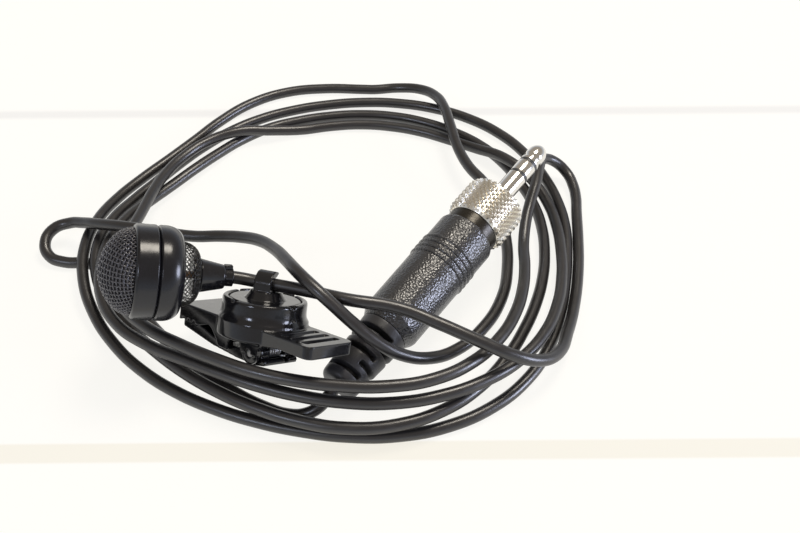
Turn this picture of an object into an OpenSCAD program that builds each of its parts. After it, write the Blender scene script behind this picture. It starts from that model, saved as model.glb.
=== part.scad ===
// Lavalier microphone: a capsule head on a thin cable, a swivelling spring clip
// and a 3.5 mm plug with a locking ring. Millimetres, +Z up, +X right, +Y away.
// The origin is under the middle of the head and clip, on the surface they lie on.

/* [Cable] */
// Cable diameter
cable_d = 2.0; // [1.6:0.1:2.4]
// Mean radius of the coiled loops
loop_r = 38.6; // [32:0.2:47]

/* [Microphone head] */
// Outer diameter of the capsule housing
head_d = 14.6; // [12.2:0.1:17.6]
// Height of the domed screen
dome_h = 5.1; // [4.2:0.1:6.2]
// Length of the boot behind the head
boot_len = 3.9; // [3.2:0.1:4.8]

/* [Clip] */
// Width of the clip body
clip_w = 9.6; // [8:0.1:11.6]
// Distance from the swivel to the tip of the jaw
jaw_len = 14.6; // [12.2:0.1:17.6]
// Distance from the swivel to the end of the lever
lever_len = 15.4; // [12.8:0.1:18.5]
// Outer diameter of the swivel boss
boss_d = 13.2; // [11:0.1:13.8]
// Diameter of the split post on the cable holder
post_d = 3.8; // [3.1:0.1:4.6]
// Diameter of the jaw hinge pin
pin_d = 1.2; // [1:0.05:1.45]

/* [Plug] */
// Length of the moulded handle
barrel_len = 23; // [19:0.5:28]
// Diameter of the moulded handle
barrel_d = 10.0; // [8.6:0.1:12]
// Outer diameter of the locking ring
ring_d = 10.8; // [9:0.1:13]
// Diameter of the plug contacts
jack_d = 3.5; // [3.5:0.1:3.5]

/* [Output] */

/* [Hidden] */
$fn = 48;
eps = 0.02;
fit = 0.05;
cable_r = cable_d / 2;

// Where the clip lies: top of its plate at the swivel axis, x towards the lever's end.
clip_at = [4.9, 0.75, 9.7];
clip_turn = [-31.5, -18, -39];
// The head's axis in the clip's frame, x from the screen to the cable.
hook_z = 5.9;
head_at = [-4.2, -3.5, hook_z + 0.25];
head_turn = 60;
hook_turn = 25;
// The plug's axis, x from the cable's end to the contacts.
plug_at = [16.5, -8.0, 4.3];
plug_turn = [0, -9.4, 52.9];

// Stations along the head, measured from the collar's end.
boot_end = -1.3;
boot_start = boot_end - boot_len;
shell_end = boot_start - 2.8;
seam = shell_end - 3.8;
band_front = seam - 3.6;
mesh_base = band_front + 0.1;
can_front = mesh_base + 0.3;
can_back = can_front + 4.4;
head_r = head_d / 2;
shell_wall = 1.0;
shell_in = head_r - shell_wall;
can_r = shell_in - 1.4;
mesh_t = 0.35;
boot_r = 2.6;
collar_r = 1.45;
bell_neck = 2.5;
bell_r = head_r - 2.3;
flange_r = bell_r + 0.35;

// Clip, in its own frame.
clip_half = clip_w / 2;
skirt = 1.3;
plate_t = 1.5;
boss_r = boss_d / 2;
boss_h = 3.7;
recess_r = boss_r - 0.9;
recess_z = 2.6;
pad_r = boss_r + 0.5;
post_r = post_d / 2;
barb_r = post_r + 0.6;
pin_at = [2.5, -4.2];
pin_r = pin_d / 2;
ear_r = pin_r + 1.1;
cavity_half = clip_half - skirt;
jaw_half = cavity_half - 0.1;
spring_gap = 1.6;
wire_r = 0.175;
coil_mean_r = pin_r + 0.35;

// Plug, along its own axis.
relief_len = 12;
relief_r = barrel_d / 2 - 0.9;
barrel_r = barrel_d / 2;
barrel_end = relief_len + barrel_len;
neck_len = 2;
ring_start = barrel_end + neck_len;
ring_len = 7.2;
sleeve_end = ring_start + 13.3;
band_len = 0.6;
contact_len = 2.5;
tip_start = sleeve_end + 2 * band_len + contact_len;
tip_len = 4.2;
jack_r = jack_d / 2;
stem_r = 2.6;
socket_r = 4.0;

// Coil: a spiral from the outer end to the inner end, climbing over the plug at the front.
coil_at = [14.8, 27.5];
coil_start = 85;
coil_end = 1444;
coil_turns = (coil_end - coil_start) / 360;
rings_per_loop = 24;
coil_steps = ceil(coil_turns * rings_per_loop);
coil_grow = loop_r / 38.6;
lie = cable_r - cable_d / 10;

// ---------------------------------------------------------------- shapes

function unit(v) = v / norm(v);

// A revolved piece about x, from [radius, station] points.
module turned(points, angle = 360) {
    rotate([0, 90, 0])
        rotate_extrude(angle = angle, $fn = 48)
            polygon(points);
}

// Points of an arc, [radius, station].
function arc(c, r, a0, a1, n) = [
    for (i = [0:n])
        let (a = a0 + (a1 - a0) * i / n)
        c + r * [cos(a), sin(a)]
];

// A rod along x from a to b.
module rod(r, a, b) {
    translate([a, 0, 0])
        rotate([0, 90, 0])
            cylinder(r = r, h = b - a);
}

// A rod along y between y = -half and y = half, at [x, z].
module cross_rod(r, at, half) {
    translate([at[0], half, at[1]])
        rotate([90, 0, 0])
            cylinder(r = r, h = 2 * half);
}

// A side outline, [x, z], made as wide as 2 * half about y = 0.
module side(half) {
    translate([0, half, 0])
        rotate([90, 0, 0])
            linear_extrude(height = 2 * half)
                children();
}

// A tube through points, each ring square to the mean direction there. No part may run along up.
module tube(points, r, sides, turn = 0, up = [0, 0, 1]) {
    n = len(points);
    rings = [
        for (i = [0:n - 1])
            let (
                before = points[i] - points[max(i - 1, 0)],
                after = points[min(i + 1, n - 1)] - points[i],
                t = unit((i == 0 ? [0, 0, 0] : unit(before)) + (i == n - 1 ? [0, 0, 0] : unit(after))),
                s = unit(cross(t, up)),
                u = cross(s, t)
            )
            for (k = [0:sides - 1])
                points[i] + r * (cos(turn + 360 * k / sides) * s + sin(turn + 360 * k / sides) * u)
    ];
    faces = concat(
        [[for (k = [0:sides - 1]) k]],
        [[for (k = [0:sides - 1]) n * sides - 1 - k]],
        [
            for (i = [0:n - 2])
                for (k = [0:sides - 1])
                    let (a = i * sides + k, b = i * sides + (k + 1) % sides)
                    each [[a, a + sides, b], [b, a + sides, b + sides]]
        ]
    );
    polyhedron(points = rings, faces = faces, convexity = 10);
}

// Cuts a cord flat on the surface it lies on.
module on_surface() {
    intersection() {
        children();
        translate([-100, -100, 0])
            cube([250, 250, 60]);
    }
}

module in_clip() {
    translate(clip_at)
        rotate(clip_turn)
            children();
}

module in_head() {
    in_clip()
        translate(head_at)
            rotate([0, 0, head_turn])
                children();
}

module in_hook() {
    in_clip()
        translate([0, 0, hook_z])
            rotate([0, 0, hook_turn])
                children();
}

module in_plug() {
    translate(plug_at)
        rotate(plug_turn)
            children();
}

// ---------------------------------------------------------------- frames as functions

function rot_x(p, a) = [p[0], p[1] * cos(a) - p[2] * sin(a), p[1] * sin(a) + p[2] * cos(a)];
function rot_y(p, a) = [p[0] * cos(a) + p[2] * sin(a), p[1], -p[0] * sin(a) + p[2] * cos(a)];
function rot_z(p, a) = [p[0] * cos(a) - p[1] * sin(a), p[0] * sin(a) + p[1] * cos(a), p[2]];
function turn(p, a) = rot_z(rot_y(rot_x(p, a[0]), a[1]), a[2]);
function from_clip(p) = clip_at + turn(p, clip_turn);
function from_head(p) = from_clip(head_at + rot_z(p, head_turn));
function from_hook(p) = from_clip([0, 0, hook_z] + rot_z(p, hook_turn));
function from_plug(p) = plug_at + turn(p, plug_turn);

// ---------------------------------------------------------------- head

function dome(r, h, base) = [
    for (i = [0:12])
        let (a = 90 * i / 12)
        [i == 12 ? 0 : r * pow(cos(a), 1.2), base - h * sin(a)]
];

// Screen shell of thickness mesh_t with a skirt that enters the front shell.
module head_mesh() {
    out = dome(shell_in + 0.4, dome_h, mesh_base);
    in = dome(shell_in + 0.4 - mesh_t, dome_h - mesh_t, mesh_base);
    color([0.08, 0.08, 0.08])
        in_head()
            turned(concat(
                [[shell_in + 0.4 - mesh_t, mesh_base + 1.3], [shell_in + 0.4, mesh_base + 1.3]],
                out,
                [for (i = [12:-1:0]) in[i]]
            ));
}

// Foam layer under the screen.
module foam_liner() {
    r = shell_in + 0.4 - mesh_t - fit;
    h = dome_h - mesh_t - fit;
    out = dome(r, h, mesh_base);
    in = dome(r - 0.9, h - 0.9, mesh_base);
    color([0.16, 0.16, 0.17])
        in_head()
            turned(concat(out, [for (i = [12:-1:0]) in[i]]));
}

// Front half of the housing: rounded lip, seam chamfer and a spigot into the rear half.
module front_shell() {
    lip = arc([head_r - 0.55, band_front + 0.55], 0.55, 0, -90, 4);
    color([0.05, 0.05, 0.055])
        in_head()
            turned(concat(
                [[head_r, seam - 0.25]],
                lip,
                [
                    [shell_in + 0.4 + eps, band_front],
                    [shell_in + 0.4 + eps, mesh_base + 1.32],
                    [shell_in, mesh_base + 1.32],
                    [shell_in, seam + 1],
                    [shell_in + 0.4, seam + 1],
                    [shell_in + 0.4, seam],
                    [head_r - 0.25, seam]
                ]
            ));
}

// Rear half of the housing, with the rounded shoulder and the seat of the bell.
module rear_shell() {
    shoulder = [
        for (i = [0:8])
            let (a = 90 * i / 8)
            [bell_r + 0.45 + (head_r - bell_r - 0.45) * cos(a), shell_end - 2.6 + 2.6 * sin(a)]
    ];
    color([0.05, 0.05, 0.055])
        in_head()
            turned(concat(
                [
                    [shell_in + 0.4 + eps, seam],
                    [head_r - 0.25, seam],
                    [head_r, seam + 0.25]
                ],
                shoulder,
                [
                    [bell_r + eps, shell_end],
                    [bell_r + eps, shell_end - 1],
                    [flange_r + eps, shell_end - 1],
                    [flange_r + eps, shell_end - 1.6],
                    [shell_in, seam + 1.02],
                    [shell_in + 0.4 + eps, seam + 1.02]
                ]
            ));
}

// Perforated bell behind the shoulder: flange, short wall, rounded end with a neck hole.
module rear_mesh() {
    depth = boot_start - shell_end;
    function bell(t) = [
        for (i = [0:10])
            let (a = 9 * i)
            [bell_neck + (bell_r - bell_neck - t) * cos(a), shell_end + (depth - t) * sin(a)]
    ];
    out = bell(0);
    in = bell(mesh_t);
    color([0.3, 0.28, 0.25])
        in_head()
            difference() {
                turned(concat(
                    [
                        [bell_r - mesh_t, shell_end - 1.35],
                        [flange_r, shell_end - 1.35],
                        [flange_r, shell_end - 1 - eps],
                        [bell_r, shell_end - 1 - eps]
                    ],
                    out,
                    [for (i = [10:-1:0]) in[i]]
                ));
                for (row = [0:2])
                    for (i = [0:15])
                        translate([shell_end, 0, 0])
                            rotate([22.5 * i + 11.25 * (row % 2), 0, 0])
                                translate([0, 0, bell_neck - 0.6])
                                    rotate([0, 15 + 24 * row, 0])
                                        translate([0, 0, 1])
                                            cylinder(r = 0.4, h = 4, $fn = 6);
            }
}

// Electret can with a rolled front edge and its sound inlet.
module capsule() {
    color([0.75, 0.75, 0.72])
        in_head()
            turned([
                [0.5, can_front],
                [can_r - 0.3, can_front],
                [can_r, can_front + 0.3],
                [can_r, can_back],
                [can_r - 0.7, can_back],
                [can_r - 0.7, can_back - 0.4],
                [0, can_back - 0.4],
                [0, can_front + 0.5],
                [0.5, can_front + 0.5]
            ]);
}

// Rubber ring between the can and the shell.
module capsule_seat() {
    color([0.12, 0.12, 0.12])
        in_head()
            turned([
                [can_r + eps, can_front + 1.1],
                [shell_in - eps, can_front + 1.1],
                [shell_in - eps, can_front + 3.1],
                [can_r + eps, can_front + 3.1]
            ]);
}

// Round board seated in the back of the can, with two lead holes.
module capsule_board() {
    color([0.1, 0.35, 0.2])
        in_head()
            difference() {
                rod(can_r - 0.75, can_back - 0.38, can_back + 0.35);
                for (s = [-1, 1])
                    translate([0, 1.6 * s, 0])
                        rod(0.3, can_back - 1, can_back + 1);
            }
}

// Sleeve round the leads, from the board to the crimp.
module lead_sleeve() {
    color([0.35, 0.2, 0.12])
        in_head()
            rod(0.55, can_back + 0.35, -3);
}

// Cone with an inner flange, a neck through the bell, a stepped collar and a tab.
module boot() {
    color([0.04, 0.04, 0.045])
        in_head()
            union() {
                turned([
                    [0.57, boot_start - 1.1],
                    [3.0, boot_start - 1.1],
                    [3.0, boot_start - 0.6],
                    [bell_neck - fit, boot_start - 0.6],
                    [bell_neck - fit, boot_start + eps],
                    [boot_r - 0.15, boot_start + eps],
                    [boot_r, boot_start + 0.2],
                    [1.85, boot_end - 0.15],
                    [1.7, boot_end],
                    [collar_r, boot_end],
                    [collar_r, -0.15],
                    [collar_r - 0.15, 0],
                    [cable_r + fit + eps, 0],
                    [cable_r + fit + eps, -2.96],
                    [1.5, -2.98],
                    [1.5, -4.52],
                    [0.57, -4.52]
                ]);
                translate([boot_end - 0.1, -0.6, 1.3])
                    cube([1.3, 1.2, 0.65]);
            }
}

// Crimp round the lead sleeve behind the end of the cable.
module cable_ferrule() {
    color([0.7, 0.7, 0.68])
        in_head()
            turned([[0.57, -4.5], [1.4, -4.5], [1.48, -4.4], [1.48, -3.1], [1.4, -3], [0.57, -3]]);
}

// ---------------------------------------------------------------- cable holder

// Foot disc, split snap post, cone and an open hook that the cable is pressed into.
module cable_holder() {
    channel_r = cable_r + 0.04;
    hook_r = channel_r + 1.0;
    color([0.05, 0.05, 0.055])
        union() {
            in_clip()
                difference() {
                    rotate_extrude($fn = 48)
                        polygon([
                            [0, -plate_t - 1.0],
                            [post_r, -plate_t - 1.0],
                            [barb_r, -plate_t - 0.5],
                            [barb_r, -plate_t - 0.05],
                            [post_r, -plate_t - 0.05],
                            [post_r, recess_z + 0.05],
                            [recess_r - 0.15, recess_z + 0.05],
                            [recess_r - 0.05, recess_z + 0.15],
                            [recess_r - 0.05, recess_z + 0.75],
                            [recess_r - 0.35, recess_z + 0.95],
                            [3.2, recess_z + 0.95],
                            [2.4, recess_z + 2.2],
                            [0, recess_z + 2.2]
                        ]);
                    translate([-4, -0.3, -plate_t - 2])
                        cube([8, 0.6, 3.2]);
                    in_channel(channel_r);
                }
            in_hook()
                rotate([90, 0, 90])
                    translate([0, 0, -1.4])
                        linear_extrude(height = 2.8)
                            difference() {
                                union() {
                                    circle(r = hook_r);
                                    translate([-hook_r, recess_z + 0.9 - hook_z])
                                        square([1.9 * hook_r, hook_z - recess_z - 0.9]);
                                }
                                circle(r = channel_r);
                                rotate(28)
                                    translate([0, -0.82 * channel_r])
                                        square([2 * hook_r, 1.64 * channel_r]);
                            }
        }
}

// The channel's cut, in the clip's frame.
module in_channel(r) {
    translate([0, 0, hook_z])
        rotate([0, 0, hook_turn])
            rod(r, -5, 5);
}

// ---------------------------------------------------------------- cords

function hump(a, mid, half) = abs(a - mid) < half ? pow(cos(90 * (a - mid) / half), 2) : 0;

// The coil's centre line at angle a.
function coil_point(a) =
    let (
        t = (a - coil_start) / 360,
        u = 1 - 2 * t / coil_turns,
        mean = 38.6 - 1.25 * sin(a) + 1.3 * pow(sin(a), 2),
        spread = 5.25 + 1.9 * sin(a),
        tuck = 2.4 * max(0, t - coil_turns + 0.25),
        rise = 9.05 * pow((1 + cos(a + 105)) / 2, 1.5) * max(0, t - 0.514) / 3,
        lift = 2.75 * hump(a % 360, 187, 32),
        r = coil_grow * mean + cable_r * (spread * u - tuck)
    )
    [coil_at[0] + r * cos(a), coil_at[1] + r * sin(a), lie + cable_r * norm([rise, lift])];

function coil_path() =
    let (
        pts = [for (i = [0:coil_steps]) coil_point(coil_start + (coil_end - coil_start) * i / coil_steps)],
        n = len(pts)
    )
    concat(
        [pts[0] - cable_d * unit(pts[1] - pts[0])],
        pts,
        [pts[n - 1] + cable_d * unit(pts[n - 1] - pts[n - 2])]
    );

// Least gap between the coil's strands, measured on the points of its centre line.
coil_gap = min([
    for (i = [0:coil_steps])
        for (j = [i + rings_per_loop / 2:coil_steps])
            norm(coil_path()[i + 1] - coil_path()[j + 1])
]) - cable_d;
echo(coil_gap_mm = coil_gap);

// A free run keeps its height on the surface and follows the coil's size towards its coil end.
function settled(p, k) =
    let (g = 1 + k * (coil_grow - 1))
    [coil_at[0] + g * (p[0] - coil_at[0]), coil_at[1] + g * (p[1] - coil_at[1]), max(p[2], lie)];

mic_run = [
    [12.2, 1.8, 15.2], [18, -0.5, 15.8], [26, -1, 14.4], [32, -3, 13.2], [38.5, -5, 11.2],
    [43.5, -5.8, 9.0], [47.8, -4.6, 6.4], [51.3, -1, 4], [54, 4.6, 2.2], [56.7, 12, 1.2],
    [58.7, 21, 0.9], [59.4, 29, 0.9], [59.2, 35.5, 1.5], [58.3, 40.5, 2.9], [57, 43.5, 4.4],
    [54.8, 44.9, 5.5], [52, 44.6, 5.9], [49.3, 42.7, 5.6], [47.4, 39.6, 4.8], [46.8, 36, 3.8]
];

plug_run = [
    [14.0, -11.0, 3.2], [11.8, -11.7, 2.2], [9, -11.2, 1.4], [5.5, -9.6, 0.9], [-0.5, -6, 0.9],
    [-7.5, -0.5, 0.9], [-14, 6.5, 0.9], [-19.5, 13.5, 0.9], [-23.5, 18.6, 0.9],
    [-28, 22.3, 0.9], [-32, 23.4, 0.9], [-35, 24.4, 1.5], [-36.4, 26.1, 2.8], [-35.2, 27.8, 4.4],
    [-32.2, 28, 5.8], [-27, 26.9, 7.4], [-20.5, 25, 8.6], [-14, 23.2, 8.9], [-8.5, 21.8, 9],
    [-4, 20.9, 9.8], [-0.2, 18.8, 11.2], [3.3, 15.6, 12.9], [6.2, 11.4, 14.9], [8.6, 6.8, 16.9],
    [11, 2.4, 18.3], [13.6, -0.6, 18.1], [16.2, -2.5, 16.7], [19.2, -4.2, 14.5],
    [22.6, -5.5, 11.8], [26.5, -5.6, 8.9], [31, -4, 6.3], [35.2, -1, 4.8], [39.4, 3.8, 4.2],
    [43, 11, 3.6], [44.6, 19, 3.1], [44.8, 27, 3.1], [43.9, 34, 3.7], [41.8, 39.4, 4.3],
    [39, 44.2, 4.5], [37.2, 49.5, 4.6], [36, 56, 4.8], [34.9, 62.5, 4.5], [33.3, 67.6, 3.5],
    [30.2, 71.4, 2.3], [25.8, 73.2, 1.3]
];

function follow(points, first) =
    let (n = len(points))
    [for (i = [0:n - 1]) settled(points[i], max(0, (i - first) / (n - 1 - first)))];

function mic_path() =
    let (coil = coil_path(), n = len(coil), out = unit(coil[n - 1] - coil[n - 2]))
    concat(
        [from_head([-3, 0, 0]), from_head([0.3, 0, 0]), from_hook([-1.5, 0, 0]), from_hook([1.5, 0, 0])],
        follow(mic_run, 4),
        [coil[n - 1] + cable_d * out, coil[n - 1]]
    );

function plug_path() =
    let (coil = coil_path(), out = unit(coil[0] - coil[1]))
    concat(
        [from_plug([3, 0, 0]), from_plug([-cable_d, 0, 0])],
        follow(plug_run, 27),
        [coil[0] + cable_d * out, coil[0]]
    );

// Cable from the boot, through the holder and over the plug, to the coil's inner end.
module cable_mic_run() {
    color([0.06, 0.06, 0.065])
        on_surface()
            tube(mic_path(), cable_r, 8, 22.5);
}

// The coiled bundle.
module cable_coil() {
    color([0.06, 0.06, 0.065])
        on_surface()
            tube(coil_path(), cable_r, 6);
}

// Cable from the plug, round the left loop and back over the clip, to the coil's outer end.
module cable_plug_run() {
    color([0.06, 0.06, 0.065])
        on_surface()
            tube(plug_path(), cable_r, 8, 22.5);
}

// ---------------------------------------------------------------- plug

// Rubber relief with staggered slots, a neck and a flange inside the handle.
module strain_relief() {
    core = cable_r + 0.9;
    slot = [[core, 0], [6, 0], [6, 0.9], [core, 0.9]];
    color([0.05, 0.05, 0.055])
        in_plug()
            difference() {
                turned(concat(
                    [[cable_r + fit, 0]],
                    arc([relief_r - 1.9, 1.1], 1.1, -90, 0, 4),
                    [
                        [relief_r, relief_len],
                        [relief_r - 1.15, relief_len],
                        [relief_r - 1.15, relief_len + 2.6],
                        [relief_r - 0.6, relief_len + 2.6],
                        [relief_r - 0.6, relief_len + 4],
                        [0.8, relief_len + 4],
                        [0.8, 3],
                        [cable_r + fit, 3]
                    ]
                ));
                for (i = [0:4])
                    for (s = [0, 180])
                        rotate([s + 90 * (i % 2) - 60, 0, 0])
                            turned([for (p = slot) p + [0, 1.9 * (i + 1)]], 120);
            }
}

// Handle: tapered seam end, four ribs, hollow inside.
module barrel() {
    rib_at = relief_len + 14.2;
    color([0.07, 0.07, 0.075])
        in_plug()
            turned(concat(
                [
                    [relief_r - 1.1, relief_len + eps],
                    [relief_r, relief_len + eps],
                    [relief_r + 0.05, relief_len + 0.2],
                    [barrel_r - 0.15, relief_len + 1.4],
                    [barrel_r, relief_len + 1.9]
                ],
                [
                    for (i = [0:3])
                        for (p = [[0, -0.35], [0.16, -0.12], [0.16, 0.12], [0, 0.35]])
                            [barrel_r + 0.08 + p[0], rib_at + i * 1.1 + p[1]]
                ],
                [
                    [barrel_r + 0.15, barrel_end - 0.5],
                    [barrel_r - 0.05, barrel_end - 0.12],
                    [barrel_r - 0.3, barrel_end],
                    [barrel_r - 1.05, barrel_end],
                    [barrel_r - 1.05, relief_len + 4.2],
                    [relief_r - 0.5, relief_len + 4.2],
                    [relief_r - 0.5, relief_len + 2.55],
                    [relief_r - 1.1, relief_len + 2.55]
                ]
            ));
}

// The cable's leads between the relief and the contacts.
module plug_leads() {
    color([0.6, 0.15, 0.1])
        in_plug()
            rod(0.75, 3, barrel_end - 9);
}

// Metal body: crimp, sleeve in the handle, neck, captive flange and sleeve contact.
module plug_body() {
    bore = 1.42;
    color([0.8, 0.79, 0.76])
        in_plug()
            union() {
                turned([
                    [bore, barrel_end - 6],
                    [barrel_r - 1.08, barrel_end - 6],
                    [barrel_r - 1.08, barrel_end],
                    [barrel_r - 0.35, barrel_end + eps],
                    [barrel_r - 0.35, ring_start - 0.1],
                    [stem_r, ring_start - 0.1],
                    [stem_r, ring_start + 1.6],
                    [stem_r + 0.7, ring_start + 1.6],
                    [stem_r + 0.7, ring_start + 2.3],
                    [jack_r + 0.3, ring_start + 2.3],
                    [jack_r, ring_start + 2.8],
                    [jack_r, sleeve_end],
                    [bore, sleeve_end]
                ]);
                translate([barrel_end - 12, -0.8, 1.4])
                    cube([6.5, 1.6, 0.5]);
                turned([
                    [0.78, barrel_end - 13],
                    [1.5, barrel_end - 13],
                    [1.5, barrel_end - 10.5],
                    [0.78, barrel_end - 10.5]
                ]);
            }
}

// Tip contact: rod through the plug and the grooved point.
module jack_tip() {
    color([0.85, 0.84, 0.8])
        in_plug()
            turned([
                [0, barrel_end - 8.6],
                [0.55, barrel_end - 8.6],
                [0.55, tip_start],
                [jack_r, tip_start],
                [jack_r, tip_start + 0.5],
                [jack_r - 0.5, tip_start + 1.2],
                [jack_r - 0.02, tip_start + 2.0],
                [jack_r - 0.1, tip_start + 2.6],
                [0.8, tip_start + tip_len - 0.1],
                [0.5, tip_start + tip_len],
                [0, tip_start + tip_len]
            ]);
}

// Insulator between the tip and the ring contact.
module tip_insulator() {
    color([0.05, 0.05, 0.05])
        in_plug()
            turned([
                [0.57, barrel_end - 7.8],
                [0.81, barrel_end - 7.8],
                [0.81, tip_start - band_len],
                [jack_r, tip_start - band_len],
                [jack_r, tip_start],
                [0.57, tip_start]
            ]);
}

// Ring contact on its tube.
module jack_ring() {
    color([0.85, 0.84, 0.8])
        in_plug()
            turned([
                [0.83, barrel_end - 7.4],
                [1.1, barrel_end - 7.4],
                [1.1, sleeve_end + band_len],
                [jack_r, sleeve_end + band_len],
                [jack_r, sleeve_end + band_len + contact_len],
                [0.83, sleeve_end + band_len + contact_len]
            ]);
}

// Insulator between the ring contact and the sleeve.
module ring_insulator() {
    color([0.05, 0.05, 0.05])
        in_plug()
            turned([
                [1.12, barrel_end - 6.8],
                [1.4, barrel_end - 6.8],
                [1.4, sleeve_end],
                [jack_r, sleeve_end],
                [jack_r, sleeve_end + band_len],
                [1.12, sleeve_end + band_len]
            ]);
}

// Locking ring: captive lip, threaded socket, chamfered ends.
module locking_ring() {
    r = ring_d / 2;
    color([0.75, 0.73, 0.68])
        in_plug()
            turned([
                [stem_r + 0.06, ring_start],
                [r - 1.0, ring_start],
                [r - 0.1, ring_start + 0.9],
                [r, ring_start + 1.1],
                [r, ring_start + ring_len - 1.5],
                [r - 0.15, ring_start + ring_len - 1.2],
                [r - 1.0, ring_start + ring_len],
                [socket_r + 0.2, ring_start + ring_len],
                [socket_r, ring_start + ring_len - 0.2],
                [socket_r, ring_start + 1.5],
                [stem_r + 0.06, ring_start + 1.5]
            ]);
}

// ---------------------------------------------------------------- clip

// Strip outline with rounded lever corners.
module clip_plan() {
    round = 1.2;
    translate([-jaw_len, -clip_half])
        square([jaw_len + lever_len - round, clip_w]);
    translate([-jaw_len, -clip_half + round])
        square([jaw_len + lever_len, clip_w - 2 * round]);
    for (s = [-1, 1])
        translate([lever_len - round, s * (clip_half - round)])
            circle(r = round);
}

// Side outline of the clip body: jaw with teeth, cheeks, arch, ear and lever skirt.
module clip_side() {
    difference() {
        union() {
            polygon([
                [-jaw_len, 0],
                [lever_len, 0],
                [lever_len, -2.0],
                [12, -1.9],
                [8.5, -1.9],
                [5.6, -2.4],
                [4.4, -3.4],
                [pin_at[0] + ear_r, pin_at[1]],
                [pin_at[0] - ear_r, pin_at[1]],
                [0.6, -4.9],
                [-4.6, -4.9],
                [-5.1, -3.9],
                [-6.4, -2.5],
                [-7.3, -2.0],
                [-9.7, -2.8],
                [-jaw_len, -2.8]
            ]);
        }
        translate([-0.8, -4.1])
            circle(r = 1.5);
        translate([-2.3, -6.1])
            square([3.0, 2.0]);
        for (i = [0:2])
            translate([-jaw_len + 0.9 + 1.35 * i, -2.8])
                circle(r = 0.45);
    }
}

// Clip body: plate and skirts, jaw, lever with grooves, round pad and swivel boss.
module upper_jaw() {
    color([0.05, 0.05, 0.055])
        in_clip()
            difference() {
                union() {
                    intersection() {
                        translate([0, 0, -8])
                            linear_extrude(height = 8)
                                clip_plan();
                        side(clip_half)
                            clip_side();
                    }
                    cross_rod(ear_r, pin_at, clip_half - 0.3);
                    rotate_extrude($fn = 64)
                        polygon([
                            [0, -2.3],
                            [pad_r - 0.25, -2.3],
                            [pad_r, -2.05],
                            [pad_r, 0.5],
                            [pad_r - 0.2, 0.75],
                            [boss_r + 0.1, 1.1],
                            [boss_r, 1.7],
                            [boss_r, boss_h - 0.35],
                            [boss_r - 0.1, boss_h - 0.1],
                            [boss_r - 0.35, boss_h],
                            [recess_r + 0.1, boss_h],
                            [recess_r, boss_h - 0.1],
                            [recess_r, recess_z],
                            [0, recess_z]
                        ]);
                }
                translate([-7, -cavity_half, -8])
                    cube([lever_len + 7 - skirt, 2 * cavity_half, 8 - 2.31]);
                translate([pad_r - 0.6, -cavity_half, -3])
                    cube([lever_len - pad_r + 0.6 - skirt, 2 * cavity_half, 3 - plate_t]);
                translate([0, 0, -plate_t])
                    cylinder(r = post_r + fit, h = 8);
                translate([0, 0, -4])
                    cylinder(r = barb_r + 0.25, h = 4 - plate_t);
                cross_rod(pin_r + eps, pin_at, clip_half + 1);
                for (i = [0:2])
                    cross_rod(0.6, [lever_len - 6.9 + 2.2 * i, 0.15], 3.5);
                for (a = [0, 90, 180, 270])
                    rotate([0, 0, a])
                        translate([recess_r + 0.35, 0, boss_h - 0.45])
                            cylinder(r = 0.5, h = 2);
            }
}

// Pin through both ears.
module hinge_pin() {
    color([0.7, 0.7, 0.7])
        in_clip()
            cross_rod(pin_r, pin_at, clip_half - 0.4);
}

// Torsion spring on the pin: four turns, one leg under the pad, one on the heel.
module torsion_spring() {
    turns = 4;
    steps = 12 * turns;
    pitch = 0.55;
    start = 90;
    sweep = 360 * turns + 180;
    coil = [
        for (i = [0:steps])
            let (a = start + sweep * i / steps)
            [
                pin_at[0] + coil_mean_r * cos(a),
                (i / steps - 0.5) * turns * pitch,
                pin_at[1] + coil_mean_r * sin(a)
            ]
    ];
    first = coil[0] + [2.0, -0.05, 0.72];
    last = coil[steps] + [2.0, 0.05, -0.08];
    color([0.7, 0.7, 0.7])
        in_clip()
            tube(concat([first], coil, [last]), wire_r, 6, 0, [0, 1, 0]);
}

// Side outline of the lower jaw: toothed top, belly and a short heel behind the knuckles.
module lower_side() {
    tip = -jaw_len - 0.4;
    difference() {
        polygon([
            [tip, -2.95],
            [-10.5, -3.15],
            [-7.5, -4.1],
            [-4.5, -4.5],
            [-1.5, -4.4],
            [pin_at[0] - 1.3, -3.4],
            [pin_at[0], -3.1],
            [pin_at[0] + 1.3, -4.7],
            [pin_at[0] + 2.3, -5.0],
            [pin_at[0] + 2.5, -5.3],
            [pin_at[0] + 2.3, -5.8],
            [pin_at[0], -6.2],
            [-2, -6.0],
            [-7.6, -5.5],
            [tip + 0.2, -4.2],
            [tip, -4.0]
        ]);
        for (i = [0:2])
            translate([-jaw_len + 1.6 + 1.35 * i, -2.95])
                circle(r = 0.4);
    }
}

// Lower jaw, hollowed at the hinge for the spring and slotted for its leg.
module lower_jaw() {
    color([0.05, 0.05, 0.055])
        in_clip()
            difference() {
                union() {
                    side(jaw_half)
                        lower_side();
                    cross_rod(pin_r + 1.0, pin_at, jaw_half);
                }
                cross_rod(pin_r + fit, pin_at, jaw_half + 1);
                cross_rod(pin_r + 1.15, pin_at, spring_gap);
                translate([pin_at[0] - 0.2, 0.8, pin_at[1] - coil_mean_r - 0.32])
                    cube([3, 0.8, 2]);
            }
}

// ---------------------------------------------------------------- output

head_mesh();
front_shell();
rear_shell();
rear_mesh();
foam_liner();
capsule();
capsule_seat();
capsule_board();
lead_sleeve();
boot();
cable_ferrule();
cable_holder();
cable_mic_run();
cable_coil();
cable_plug_run();
strain_relief();
barrel();
plug_leads();
plug_body();
jack_tip();
tip_insulator();
jack_ring();
ring_insulator();
locking_ring();
upper_jaw();
hinge_pin();
torsion_spring();
lower_jaw();
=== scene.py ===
"""Looks of a clip-on microphone: screened head, coiled cable, swivelling spring clip and locking plug."""

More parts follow.
